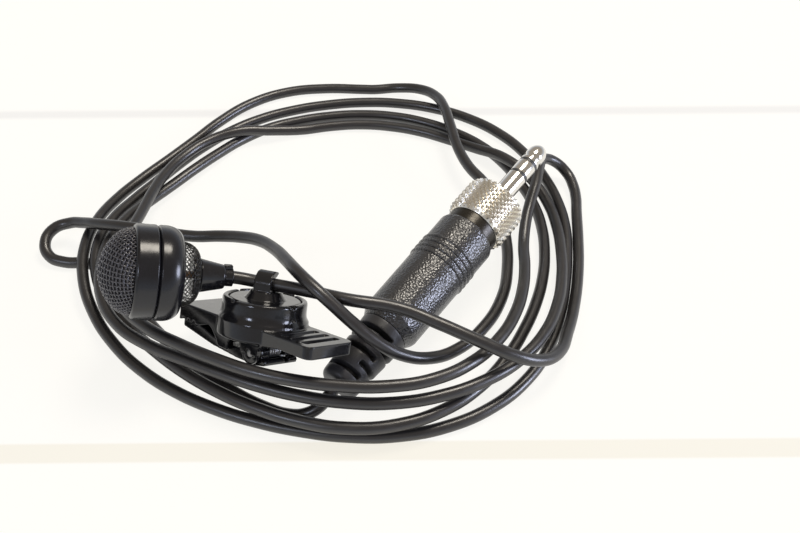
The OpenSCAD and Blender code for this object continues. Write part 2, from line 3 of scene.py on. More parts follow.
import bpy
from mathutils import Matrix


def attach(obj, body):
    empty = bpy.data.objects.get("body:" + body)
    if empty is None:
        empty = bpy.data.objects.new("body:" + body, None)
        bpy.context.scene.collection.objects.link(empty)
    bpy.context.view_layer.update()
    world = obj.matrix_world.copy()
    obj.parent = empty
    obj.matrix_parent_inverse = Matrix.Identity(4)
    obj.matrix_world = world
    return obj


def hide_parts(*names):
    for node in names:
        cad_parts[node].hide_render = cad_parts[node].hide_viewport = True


bl_info = {
    "name": "Clip-on microphone",
    "version": (1, 0, 0),
    "blender": (4, 5, 0),
    "location": "View3D > Sidebar > Microphone",
    "description": "Builds the looks of a clip-on microphone with a coiled cable and a locking plug",
    "category": "Object",
}

from math import cos, pi, radians, sin

import bmesh
import bpy
from bpy.props import FloatProperty, FloatVectorProperty, IntProperty, PointerProperty
from bpy.types import Operator, Panel, PropertyGroup
from mathutils import Euler, Matrix, Vector

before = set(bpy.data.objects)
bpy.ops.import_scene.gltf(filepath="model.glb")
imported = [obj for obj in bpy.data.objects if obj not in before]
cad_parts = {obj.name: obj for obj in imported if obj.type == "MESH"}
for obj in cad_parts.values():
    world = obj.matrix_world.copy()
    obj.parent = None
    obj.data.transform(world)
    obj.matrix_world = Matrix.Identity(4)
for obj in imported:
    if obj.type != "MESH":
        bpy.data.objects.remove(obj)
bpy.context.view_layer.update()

MM = 0.001
AT_ORIGIN = Matrix.Identity(4)
QUARTER = radians(90)


# ---------------------------------------------------------------- where things lie


def frame_at(at, turn, base=AT_ORIGIN):
    """A frame at a point in millimetres, turned about x, y and z in degrees, within another frame."""
    place = Matrix.Translation(Vector(at) * MM)
    return base @ place @ Euler([radians(a) for a in turn]).to_matrix().to_4x4()


CLIP = frame_at((4.9, 0.75, 9.7), (-31.5, -18, -39))
HEAD = frame_at((-4.2, -3.5, 6.15), (0, 0, 60), CLIP)
HOOK = frame_at((0, 0, 5.9), (0, 0, 25), CLIP)
PLUG = frame_at((16.5, -8.0, 4.3), (0, -9.4, 52.9))

# Stations along the head, in millimetres from the end of the boot's collar, and radii about it. HAIR is how far a
# skin stays inside its frame piece, and SEAM_DEPTH how deep the groove between the shells is.
BOOT_START = -5.2
SHELL_END = -8.0
SEAM = -11.8
BAND_FRONT = -15.4
SCREEN_BASE = -15.3
HEAD_R = 7.3
SHELL_IN = 6.3
REBATE_R = 6.72
BELL_R = 5.0
BELL_NECK = 2.5
SEAM_DEPTH = 0.36
HAIR = 0.02
DOME_R, DOME_RISE = 6.5, 4.9
FOAM_R, FOAM_RISE, FOAM_THICK = 6.28, 4.68, 0.85

# Stations along the plug, in millimetres from the cable's end.
RELIEF_LEN = 12
HANDLE_END = 35
RING_START = 37
RING_LEN = 7.2
RING_R = 5.06
SLEEVE_END = 50.3
BAND = 0.6
TIP_START = 54.0

# The hinge pin's x and z in the clip's frame, and the spring on it, in millimetres.
PIN_AT = (2.5, -4.2)
PIN_R = 0.6
PIN_HALF = 4.4
SPRING_R = 0.95
SPRING_LEN = 2.2
SPRING_WIRE = 0.175

# Cells of the moulded skins that have no size in the panel, in metres.
HOLDER_CELL = 0.00009
RELIEF_CELL = 0.00013

# The stage, in metres, with the sensor in millimetres: what the camera and the lamps look at and from how far. Each
# lamp has its azimuth and height in degrees, its size, its share of the power and its colour.
AIM = Vector((0.0262, 0.0223, 0))
CAMERA_RISE = 0.1388
SENSOR_WIDTH = 36
NEAREST = 0.005
FLOOR_HALF = 3
LAMP_AIM = Vector((0.012, 0.01, 0.005))
LAMP_AWAY = 0.75
WARM_LAMPS = [("overhead", (48, 66), 0.28, 1.0, (1.0, 0.93, 0.82))]
COOL_LAMPS = [
    ("right_window", (-11, 13), 0.30, 1.0, (0.74, 0.79, 1.0)),
    ("left_window", (-130, 40), 0.13, 0.22, (0.72, 0.80, 1.0)),
]

# Darker lines painted across the floor, in metres: how they slope, where they lie, half their width, their soft edge,
# their painted colour. The back one is the painted shade of a crease in the paper; the front one is a darker, warmer
# band.
PAINTED_FLOOR_LINES = [
    (0.012, 0.0664, 0.0012, 0.0016, (0.90, 0.885, 0.86, 1)),
    (0.010, -0.0172, 0.00175, 0.0006, (0.935, 0.90, 0.81, 1)),
]


# ---------------------------------------------------------------- sizes and colours


def length(name, text, value):
    """A length in metres for the panel."""
    return FloatProperty(name=name, description=text, default=value, min=0.0, unit="LENGTH", precision=5)


def colour(name, text, value):
    """A colour for the panel."""
    return FloatVectorProperty(name=name, description=text, default=value, min=0.0, max=1.0, size=3, subtype="COLOR")


def count(name, text, value, low, high):
    """A whole number for the panel."""
    return IntProperty(name=name, description=text, default=value, min=low, max=high)


def power(name, text, value):
    """A lamp's power for the panel."""
    return FloatProperty(name=name, description=text, default=value, unit="POWER")


class CableLooks(PropertyGroup):
    diameter: length("Diameter", "Outer diameter of the cable's jacket", 0.002)
    jacket: colour("Jacket", "Colour of the cable's jacket", (0.011, 0.010, 0.0105))


class HeadLooks(PropertyGroup):
    screen_wires: count("Screen wires", "Wires of the domed screen on each side of its middle", 13, 6, 30)
    screen_wire: length("Screen wire", "Radius of one wire of the domed screen", 0.00014)
    bell_wires: count("Bell wires", "Wires of the bell that lean each way", 36, 12, 60)
    bell_wire: length("Bell wire", "Radius of one wire of the bell", 0.000065)
    housing: colour("Housing", "Colour of the moulded housing", (0.006, 0.006, 0.008))
    screen: colour("Screen", "Colour of the painted screen wires", (0.030, 0.029, 0.036))


class ClipLooks(PropertyGroup):
    plastic: colour("Plastic", "Colour of the clip's gloss plastic", (0.006, 0.006, 0.0075))
    skin: length("Skin", "Size of the cells of the moulded skin, which also eases its edges", 0.00012)


class PlugLooks(PropertyGroup):
    handle: colour("Handle", "Colour of the grained handle", (0.022, 0.022, 0.024))
    metal: colour("Metal", "Colour of the nickel plating", (0.80, 0.765, 0.69))
    knurls: count("Knurls", "Diamonds round the locking ring", 32, 12, 90)
    knurl_depth: length("Knurl depth", "Height of a diamond over the groove beside it", 0.00042)
    ribs: count("Ribs", "Ribs round the handle", 4, 0, 8)
    rib_pitch: length("Rib pitch", "Distance from one rib to the next", 0.0011)


class StageLooks(PropertyGroup):
    floor: colour("Floor", "Colour of the surface that the object lies on", (1.0, 0.988, 0.948))
    warm_lamp: power("Warm lamp", "Power of the lamp overhead", 2.9)
    cool_lamp: power("Cool lamp", "Power of the lamp at the right, which the one at the left follows", 3.6)
    lens: FloatProperty(name="Lens", description="Focal length of the camera", default=50.36, unit="CAMERA")


# ---------------------------------------------------------------- making meshes


def new_object(name, data):
    """A new object in the scene."""
    made = bpy.data.objects.new(name, data)
    bpy.context.scene.collection.objects.link(made)
    return made


def changed(mesh, change):
    """Runs a change on the bmesh of a mesh, then turns every face outwards."""
    bm = bmesh.new()
    bm.from_mesh(mesh)
    change(bm)
    bmesh.ops.recalc_face_normals(bm, faces=bm.faces)
    bm.to_mesh(mesh)
    bm.free()


def tidy_normals(mesh, merge=1e-7):
    """Merges doubles and turns every face outwards."""
    changed(mesh, lambda bm: bmesh.ops.remove_doubles(bm, verts=bm.verts, dist=merge))


def eased(outline, radius):
    """A closed outline with its corners rounded; corners on the axis and shallow ones stay."""
    steps, shallow = 3, radians(24)
    made = []
    for i, corner in enumerate(outline):
        p = Vector(corner)
        before, after = Vector(outline[i - 1]) - p, Vector(outline[(i + 1) % len(outline)]) - p
        on_axis = p.x < 1e-6
        if on_axis or radius == 0 or pi - before.angle(after) < shallow:
            made.append(p)
            continue
        cut = min(radius, 0.4 * before.length, 0.4 * after.length)
        start, end = p + before.normalized() * cut, p + after.normalized() * cut
        for k in range(steps + 1):
            t = k / steps
            made.append(start * (1 - t) ** 2 + p * 2 * t * (1 - t) + end * t * t)
    return made


def turned_mesh(name, outline, place, ease=0.12, segments=96):
    """A mesh turned about the x axis of a frame, from a closed outline of (radius, station) in millimetres."""
    points = eased(outline, ease)
    rings, vertices, faces = [], [], []
    for p in points:
        if p.x < 1e-6:
            rings.append([len(vertices)] * segments)
            vertices.append(Vector((p.y, 0, 0)) * MM)
            continue
        rings.append([len(vertices) + k for k in range(segments)])
        for k in range(segments):
            a = 2 * pi * k / segments
            vertices.append(Vector((p.y, p.x * cos(a), p.x * sin(a))) * MM)
    for i, ring in enumerate(rings):
        other = rings[(i + 1) % len(rings)]
        for k in range(segments):
            n = (k + 1) % segments
            face = list(dict.fromkeys([ring[k], ring[n], other[n], other[k]]))
            if len(face) > 2:
                faces.append(face)
    mesh = bpy.data.meshes.new(name)
    mesh.from_pydata(vertices, [], faces)
    tidy_normals(mesh)
    mesh.transform(place)
    mesh.shade_smooth()
    return mesh


def turned(name, outline, place, ease=0.12, segments=96):
    """A turned piece with eased corners."""
    return flats_kept(new_object(name, turned_mesh(name, outline, place, ease, segments)))


def flats_kept(made):
    """Lets the flats of a piece keep their own normals."""
    made.modifiers.new("Flats", "WEIGHTED_NORMAL").keep_sharp = True
    return made


def evaluated_mesh(made, name):
    """The mesh of an object with its modifiers applied; the object itself is removed."""
    graph = bpy.context.evaluated_depsgraph_get()
    graph.update()
    mesh = bpy.data.meshes.new_from_object(made.evaluated_get(graph))
    bpy.data.objects.remove(made)
    mesh.name = name
    return mesh


def moulded(name, node, place, cell, passes):
    """A copy of a frame piece as one smooth skin with eased edges, made in the piece's own frame."""
    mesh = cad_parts[node].data.copy()
    tidy_normals(mesh, merge=2e-6)
    mesh.transform(place.inverted())
    rough = new_object(name + "_rough", mesh)
    skin = rough.modifiers.new("Skin", "REMESH")
    skin.mode = "VOXEL"
    skin.voxel_size = cell
    skin.use_smooth_shade = True
    ease = rough.modifiers.new("Ease", "SMOOTH")
    ease.factor = 0.5
    ease.iterations = passes
    skinned = evaluated_mesh(rough, name)
    skinned.transform(place)
    skinned.materials.clear()
    skinned.shade_smooth()
    return new_object(name, skinned)


def second_tone(made, place, low, high):
    """Puts the faces between two stations of a frame into the second material slot."""
    back = place.inverted()
    for face in made.data.polygons:
        face.material_index = int(low * MM < (back @ face.center).x < high * MM)


def seat(made, body, finish, slot, *nodes):
    """Gives a finished piece its material and body, and hides the frame pieces that it stands for; its slot is not
    used.
    """
    made.data.materials.clear()
    made.data.materials.append(finish)
    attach(made, body)
    if nodes:
        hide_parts(*nodes)
    return made


def repaint(node, finish):
    """Gives a frame piece a better material."""
    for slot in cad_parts[node].material_slots:
        slot.material = finish


def arc(centre, radius, start, end, steps):
    """Points of an arc, as (radius, station), with angles in degrees."""
    turn = [radians(start + (end - start) * i / steps) for i in range(steps + 1)]
    return [(centre[0] + radius * cos(a), centre[1] + radius * sin(a)) for a in turn]


# ---------------------------------------------------------------- node trees


class Term:
    """A number inside a node tree, so that a rule reads as arithmetic."""

    def __init__(self, tree, socket):
        self.tree, self.socket = tree, socket

    def worked(self, operation, *others):
        """The number that one step of arithmetic gives."""
        node = self.tree.nodes.new("ShaderNodeMath")
        node.operation = operation
        for socket, value in zip(node.inputs, (self, *others)):
            feed(self.tree, socket, value)
        return Term(self.tree, node.outputs[0])

    def __add__(self, other):
        return self.worked("ADD", other)

    def __sub__(self, other):
        return self.worked("SUBTRACT", other)

    def __mul__(self, other):
        return self.worked("MULTIPLY", other)

    def __truediv__(self, other):
        return self.worked("DIVIDE", other)

    def __pow__(self, other):
        return self.worked("POWER", other)

    def __mod__(self, other):
        return self.worked("MODULO", other)

    def __neg__(self):
        return self.worked("MULTIPLY", -1.0)

    def sin(self):
        return self.worked("SINE")

    def cos(self):
        return self.worked("COSINE")

    def root(self):
        return self.worked("SQRT")


def feed(tree, socket, value):
    """Links a term or socket to an input, or sets the input to a plain value."""
    if isinstance(value, Term):
        tree.links.new(value.socket, socket)
    elif isinstance(value, bpy.types.NodeSocket):
        tree.links.new(value, socket)
    else:
        socket.default_value = value


def add_node(tree, kind, inputs=None, **settings):
    """A new node with its settings made and its inputs fed."""
    node = tree.nodes.new(kind)
    for name, value in settings.items():
        setattr(node, name, value)
    for name, value in (inputs or {}).items():
        feed(tree, node.inputs[name], value)
    return node


def blend(tree, factor, first, second):
    """The colour between two others, by a factor from 0 to 1."""
    mix = add_node(tree, "ShaderNodeMix", {"Factor": factor}, data_type="RGBA")
    colours = [s for s in mix.inputs if s.type == "RGBA"]
    feed(tree, colours[0], first)
    feed(tree, colours[1], second)
    return next(s for s in mix.outputs if s.type == "RGBA")


def new_tree(name, sizes, counts):
    """An empty geometry tree with a mesh and a material in, named sizes and counts, and a mesh out."""
    tree = bpy.data.node_groups.new(name, "GeometryNodeTree")

    def socket(label, kind, side="INPUT"):
        return tree.interface.new_socket(name=label, in_out=side, socket_type="NodeSocket" + kind)

    socket("Geometry", "Geometry")
    for label, value in sizes.items():
        size = socket(label, "Float")
        size.subtype, size.default_value = "DISTANCE", value
    for label, value in counts.items():
        socket(label, "Int").default_value = value
    socket("Material", "Material")
    socket("Geometry", "Geometry", "OUTPUT")
    source = tree.nodes.new("NodeGroupInput")
    terms = {label: Term(tree, source.outputs[label]) for label in (*sizes, *counts)}
    return tree, source, terms


def close_tree(tree, source, *parts):
    """Joins the mesh that comes in and the parts, realizes them, sets the material and ends the tree."""
    join = tree.nodes.new("GeometryNodeJoinGeometry")
    for part in (source.outputs["Geometry"], *parts):
        tree.links.new(part, join.inputs[0])
    real = add_node(tree, "GeometryNodeRealizeInstances", {"Geometry": join.outputs[0]})
    smooth = add_node(tree, "GeometryNodeSetShadeSmooth", {"Geometry": real.outputs[0]})
    paint = add_node(
        tree, "GeometryNodeSetMaterial", {"Geometry": smooth.outputs[0], "Material": source.outputs["Material"]}
    )
    out = tree.nodes.new("NodeGroupOutput")
    tree.links.new(paint.outputs[0], out.inputs[0])
    return tree


def parted(tree, vector):
    """The x, y and z of a vector, as terms."""
    return [Term(tree, s) for s in add_node(tree, "ShaderNodeSeparateXYZ", {0: vector}).outputs]


def place_of(tree):
    """The x, y and z of each point, as terms."""
    return parted(tree, add_node(tree, "GeometryNodeInputPosition").outputs[0])


def at(tree, x, y, z):
    """A place or size from its x, y and z."""
    return add_node(tree, "ShaderNodeCombineXYZ", {0: x, 1: y, 2: z}).outputs[0]


def copies(tree, points, what, **inputs):
    """A copy of a geometry on each point."""
    fed = {"Points": points, "Instance": what, **inputs}
    return add_node(tree, "GeometryNodeInstanceOnPoints", fed).outputs[0]


def laid(tree, geometry, spot):
    """A geometry with its points moved."""
    return add_node(tree, "GeometryNodeSetPosition", {"Geometry": geometry, "Position": spot}).outputs[0]


def wires(tree, points, rows, start, step, first, last):
    """Rows of straight wires from first to last, ready to be laid on a surface."""
    wire = add_node(tree, "GeometryNodeCurvePrimitiveLine", {"Start": first, "End": last})
    cut = add_node(tree, "GeometryNodeResampleCurve", {"Curve": wire.outputs[0], "Count": points})
    line = add_node(tree, "GeometryNodeMeshLine", {"Count": rows, "Start Location": start, "Offset": step})
    many = copies(tree, line.outputs[0], cut.outputs[0])
    return add_node(tree, "GeometryNodeRealizeInstances", {"Geometry": many}).outputs[0]


def drawn(tree, curves, radius, sides):
    """Curves made into round wire."""
    rim = add_node(tree, "GeometryNodeCurvePrimitiveCircle", {"Resolution": sides, "Radius": radius})
    inputs = {"Curve": curves, "Profile Curve": rim.outputs[0], "Fill Caps": True}
    return add_node(tree, "GeometryNodeCurveToMesh", inputs).outputs[0]


def run_tree(name, base_mesh, tree, values, place):
    """Runs a tree on a mesh with its named inputs, and gives the plain mesh in its place."""
    carrier = new_object(name + "_making", base_mesh)
    maker = carrier.modifiers.new("Making", "NODES")
    maker.node_group = tree
    for item in tree.interface.items_tree:
        if item.in_out == "INPUT" and item.name in values:
            maker[item.identifier] = values[item.name]
    mesh = evaluated_mesh(carrier, name)
    tidy_normals(mesh, merge=1e-8)
    mesh.transform(place)
    return new_object(name, mesh)


def woven_screen_tree():
    """A square weave laid over a dome: each wire passes over and under the ones that cross it."""
    per_cell, shoulder, steepness = 8.0, 1.2, 0.87
    sizes = {"Radius": DOME_R * MM, "Depth": DOME_RISE * MM, "Wire": 0.00014, "Swing": 0.00007}
    tree, source, size = new_tree("Woven dome", sizes, {"Wires": 13})
    half = size["Wires"]
    across = at(tree, 0.0, half ** -1.0, 0.0)
    parts = []
    for sign in (1.0, -1.0):
        rows = wires(tree, half * per_cell + 1.0, half * 2.0 + 1.0, (0, -1, 0), across, (-1, 0, 0), (1, 0, 0))
        s, t, _ = place_of(tree)
        reach = (s * s + t * t).root()
        outside = reach.worked("GREATER_THAN", 0.999)
        cut = add_node(tree, "GeometryNodeDeleteGeometry", {"Geometry": rows, "Selection": outside}, domain="POINT")
        lean = (reach ** steepness) * (pi / 2)
        swing = (s * half * pi).cos() * (t * half * pi).cos() * size["Swing"] * sign
        out = size["Radius"] * (lean.sin() ** shoulder) + swing * lean.sin()
        along, aside = (s, t) if sign > 0 else (t, s)
        forward = -(size["Depth"] * lean.cos()) - swing * lean.cos()
        spot = at(tree, forward, out * along / reach, out * aside / reach)
        parts.append(drawn(tree, laid(tree, cut.outputs[0], spot), size["Wire"], 6))
    return close_tree(tree, source, *parts)


def bell_screen_tree():
    """Two sets of wires that wind round a bell in opposite ways, woven where they cross."""
    points, twist = 40, 1.15
    sizes = {"Rim": 0.00492, "Neck": BELL_NECK * MM, "Depth": 0.00272, "Wire": 0.000065, "Swing": 0.00005}
    tree, source, size = new_tree("Wire bell", sizes, {"Wires": 36})
    parts = []
    for sign in (1.0, -1.0):
        rows = wires(tree, points, size["Wires"], (0, 0, 0), (0, 1, 0), (0, 0, 0), (1, 0, 0))
        s, row, _ = place_of(tree)
        lean = s * (pi / 2)
        angle = row / size["Wires"] * (2 * pi) + s * (twist * sign)
        swing = (s * size["Wires"] * twist).cos() * size["Swing"] * sign
        out = size["Neck"] + (size["Rim"] - size["Neck"]) * lean.cos() + swing * lean.cos()
        spot = at(tree, size["Depth"] * lean.sin() + swing * lean.sin(), out * angle.cos(), out * angle.sin())
        parts.append(drawn(tree, laid(tree, rows, spot), size["Wire"], 5))
    return close_tree(tree, source, *parts)


def knurl_tree():
    """Diamonds in staggered rows round a ring, which follow its chamfers at both ends."""
    chamfer, top = 0.9, 0.12
    middle = (RING_START + RING_LEN / 2) * MM
    sizes = {"Radius": RING_R * MM, "Middle": middle, "Flat": 0.0029, "Row pitch": 0.00052, "Height": 0.00042}
    tree, source, size = new_tree("Knurled ring", sizes, {"Knurls": 32, "Rows": 13})
    cells = {"Size X": 1.0, "Size Y": 1.0, "Vertices X": size["Knurls"], "Vertices Y": size["Rows"]}
    grid = add_node(tree, "GeometryNodeMeshGrid", cells)
    u, v, _ = place_of(tree)
    column = (u + 0.5) * (size["Knurls"] - 1.0)
    row = ((v + 0.5) * (size["Rows"] - 1.0)).worked("ROUND")
    angle = (column + (row % 2.0) * 0.5) / size["Knurls"] * (2 * pi)
    along = (v * (size["Rows"] - 1.0)) * size["Row pitch"]
    drop = (along.worked("ABSOLUTE") - size["Flat"]).worked("MAXIMUM", 0.0)
    radius = size["Radius"] - drop * chamfer
    spot = at(tree, size["Middle"] + along, radius * angle.cos(), radius * angle.sin())
    points = laid(tree, grid.outputs[0], spot)
    cone = {"Vertices": 4, "Radius Top": top, "Radius Bottom": 1.0, "Depth": size["Height"]}
    diamond = add_node(tree, "GeometryNodeMeshCone", cone).outputs[0]
    _, y, z = place_of(tree)
    turn = z.worked("ARCTAN2", y) - pi / 2
    cell = size["Radius"] * pi / size["Knurls"]
    facing = {"Rotation": at(tree, turn, 0.0, 0.0), "Scale": at(tree, size["Row pitch"], cell, 1.0)}
    return close_tree(tree, source, copies(tree, points, diamond, **facing))


def rib_tree():
    """Low round ribs at an even pitch round the handle."""
    sizes = {"Radius": 0.00499, "First": 0.0262, "Pitch": 0.0011, "Rib": 0.0003}
    tree, source, size = new_tree("Ribs", sizes, {"Ribs": 4})
    rim = add_node(tree, "GeometryNodeCurvePrimitiveCircle", {"Resolution": 96, "Radius": size["Radius"]})
    upright = add_node(tree, "GeometryNodeTransform", {"Geometry": rim.outputs[0], "Rotation": (0, QUARTER, 0)})
    rib = drawn(tree, upright.outputs[0], size["Rib"], 12)
    start, step = at(tree, size["First"], 0.0, 0.0), at(tree, size["Pitch"], 0.0, 0.0)
    line = add_node(tree, "GeometryNodeMeshLine", {"Count": size["Ribs"], "Start Location": start, "Offset": step})
    return close_tree(tree, source, copies(tree, line.outputs[0], rib))


def spring_tree():
    """The turns of a torsion spring about the z axis."""
    sizes = {"Radius": SPRING_R * MM, "Length": SPRING_LEN * MM, "Wire": SPRING_WIRE * MM}
    tree, source, size = new_tree("Spring", sizes, {"Turns": 4})
    inputs = {"Resolution": 32, "Rotations": size["Turns"] + 0.5, "Height": size["Length"]}
    inputs |= {"Start Radius": size["Radius"], "End Radius": size["Radius"]}
    turns = add_node(tree, "GeometryNodeCurveSpiral", inputs)
    return close_tree(tree, source, drawn(tree, turns.outputs[0], size["Wire"], 10))


# ---------------------------------------------------------------- finishes


EVEN = (1, 1, 1)


def relief_of(tree, spot, kind, scale, strength, depth, stretch=EVEN):
    """The normal of a fine relief, whose kind is noise or cells."""
    held = add_node(tree, "ShaderNodeMapping", {"Vector": spot, "Scale": stretch}).outputs[0]
    if kind == "cells":
        height = add_node(tree, "ShaderNodeTexVoronoi", {"Vector": held, "Scale": scale}).outputs["Distance"]
    else:
        noise = {"Vector": held, "Scale": scale, "Detail": 3.0}
        height = add_node(tree, "ShaderNodeTexNoise", noise).outputs["Fac"]
    bump = {"Strength": strength, "Distance": depth, "Height": height}
    return add_node(tree, "ShaderNodeBump", bump).outputs["Normal"]


def finish(name, first, second, gloss, swing, cloud, relief, metal=0.0, specular=0.5):
    """A finish whose colour and gloss drift over the piece, with a fine relief.

    The colour drifts from first to second in clouds of a given scale, and the roughness by swing about gloss. The
    relief is its kind, scale, strength and depth, and how it is stretched along x, y and z where it isn't even.
    """
    made = bpy.data.materials.new(name)
    made.use_nodes = True
    made.diffuse_color = (*first, 1)
    tree = made.node_tree
    shader = tree.nodes["Principled BSDF"]
    spot = add_node(tree, "ShaderNodeTexCoord").outputs["Object"]
    drift = add_node(tree, "ShaderNodeTexNoise", {"Vector": spot, "Scale": cloud, "Detail": 3.0})
    fine = add_node(tree, "ShaderNodeTexNoise", {"Vector": spot, "Scale": cloud * 4.3, "Detail": 4.0})
    low, high = 0.3, 0.7  # noise mostly keeps between these
    ends = {"From Min": low, "From Max": high, "To Min": gloss - swing, "To Max": gloss + swing}
    span = add_node(tree, "ShaderNodeMapRange", {"Value": fine.outputs["Fac"], **ends})
    inputs = {
        "Base Color": blend(tree, drift.outputs["Fac"], (*first, 1), (*second, 1)),
        "Roughness": span.outputs["Result"],
        "Metallic": metal,
        "Specular IOR Level": specular,
        "Normal": relief_of(tree, spot, *relief),
    }
    for label, value in inputs.items():
        feed(tree, shader.inputs[label], value)


def lift(value, by):
    """A colour made lighter or darker."""
    return tuple(min(1.0, v * by) for v in value)


def finishes():
    """Every finish of the object, made once and found by name."""
    if "jacket" in bpy.data.materials:
        return bpy.data.materials
    scene = bpy.context.scene
    jacket, housing = tuple(scene.mic_cable.jacket), tuple(scene.mic_head.housing)
    screen, plastic = tuple(scene.mic_head.screen), tuple(scene.mic_clip.plastic)
    handle, metal = tuple(scene.mic_plug.handle), tuple(scene.mic_plug.metal)
    rows = [
        # Name; the two colours; roughness and its drift; scale of the clouds; relief; metallic; specular level.
        ("jacket", jacket, lift(jacket, 1.6), 0.34, 0.05, 120, ("noise", 2600, 0.04, 0.00002), 0, 0.85),
        ("housing_gloss", housing, lift(housing, 1.4), 0.22, 0.03, 260, ("noise", 240, 0.08, 0.0002)),
        ("clip_gloss", plastic, lift(plastic, 1.4), 0.15, 0.04, 240, ("noise", 320, 0.10, 0.0002), 0, 0.6),
        ("screen_paint", screen, lift(screen, 1.8), 0.30, 0.08, 1500, ("noise", 9000, 0.2, 0.00002), 0, 0.9),
        ("bell_wire", (0.004, 0.0035, 0.003), (0.012, 0.010, 0.007), 0.38, 0.08, 1500, ("noise", 9000, 0.2, 0.00002)),
        ("foam", (0.004, 0.004, 0.0045), (0.014, 0.013, 0.013), 0.9, 0.05, 1600, ("cells", 2600, 0.9, 0.0002)),
        ("can_aluminium", (0.62, 0.62, 0.60), (0.72, 0.71, 0.69), 0.32, 0.08, 500,
         ("noise", 900, 0.2, 0.00005, (1, 14, 14)), 1),
        ("rubber", (0.016, 0.016, 0.017), (0.026, 0.026, 0.028), 0.46, 0.08, 500, ("noise", 2600, 0.16, 0.00004)),
        ("board_green", (0.008, 0.034, 0.017), (0.013, 0.05, 0.024), 0.35, 0.06, 700, ("noise", 2400, 0.1, 0.00003)),
        ("sleeve_brown", (0.16, 0.085, 0.035), (0.24, 0.13, 0.06), 0.45, 0.08, 900, ("noise", 2600, 0.2, 0.00004)),
        ("handle_grain", handle, lift(handle, 1.3), 0.27, 0.03, 200, ("cells", 2700, 0.9, 0.00009), 0, 1.0),
        ("nickel", lift(metal, 0.94), metal, 0.15, 0.04, 420, ("noise", 1300, 0.04, 0.00003), 1),
        ("nickel_worn", lift(metal, 0.98), lift(metal, 1.12), 0.20, 0.06, 1400, ("noise", 3600, 0.12, 0.00003), 1),
        # The neck's dark finish: partly its dark washer, partly painted shade and a painted dark reflection of the
        # handle.
        ("neck_dark", (0.020, 0.017, 0.012), (0.035, 0.030, 0.022), 0.30, 0.06, 900,
         ("noise", 1500, 0.08, 0.00003), 0.5),
        ("insulator", (0.010, 0.010, 0.011), (0.018, 0.018, 0.019), 0.35, 0.05, 700, ("noise", 3000, 0.1, 0.00002)),
        ("spring_steel", (0.46, 0.45, 0.43), (0.58, 0.57, 0.55), 0.28, 0.08, 900,
         ("noise", 1600, 0.12, 0.00003, (1, 9, 9)), 1),
    ]  # fmt: skip
    for row in rows:
        finish(*row)
    return bpy.data.materials


# ---------------------------------------------------------------- the cable's route

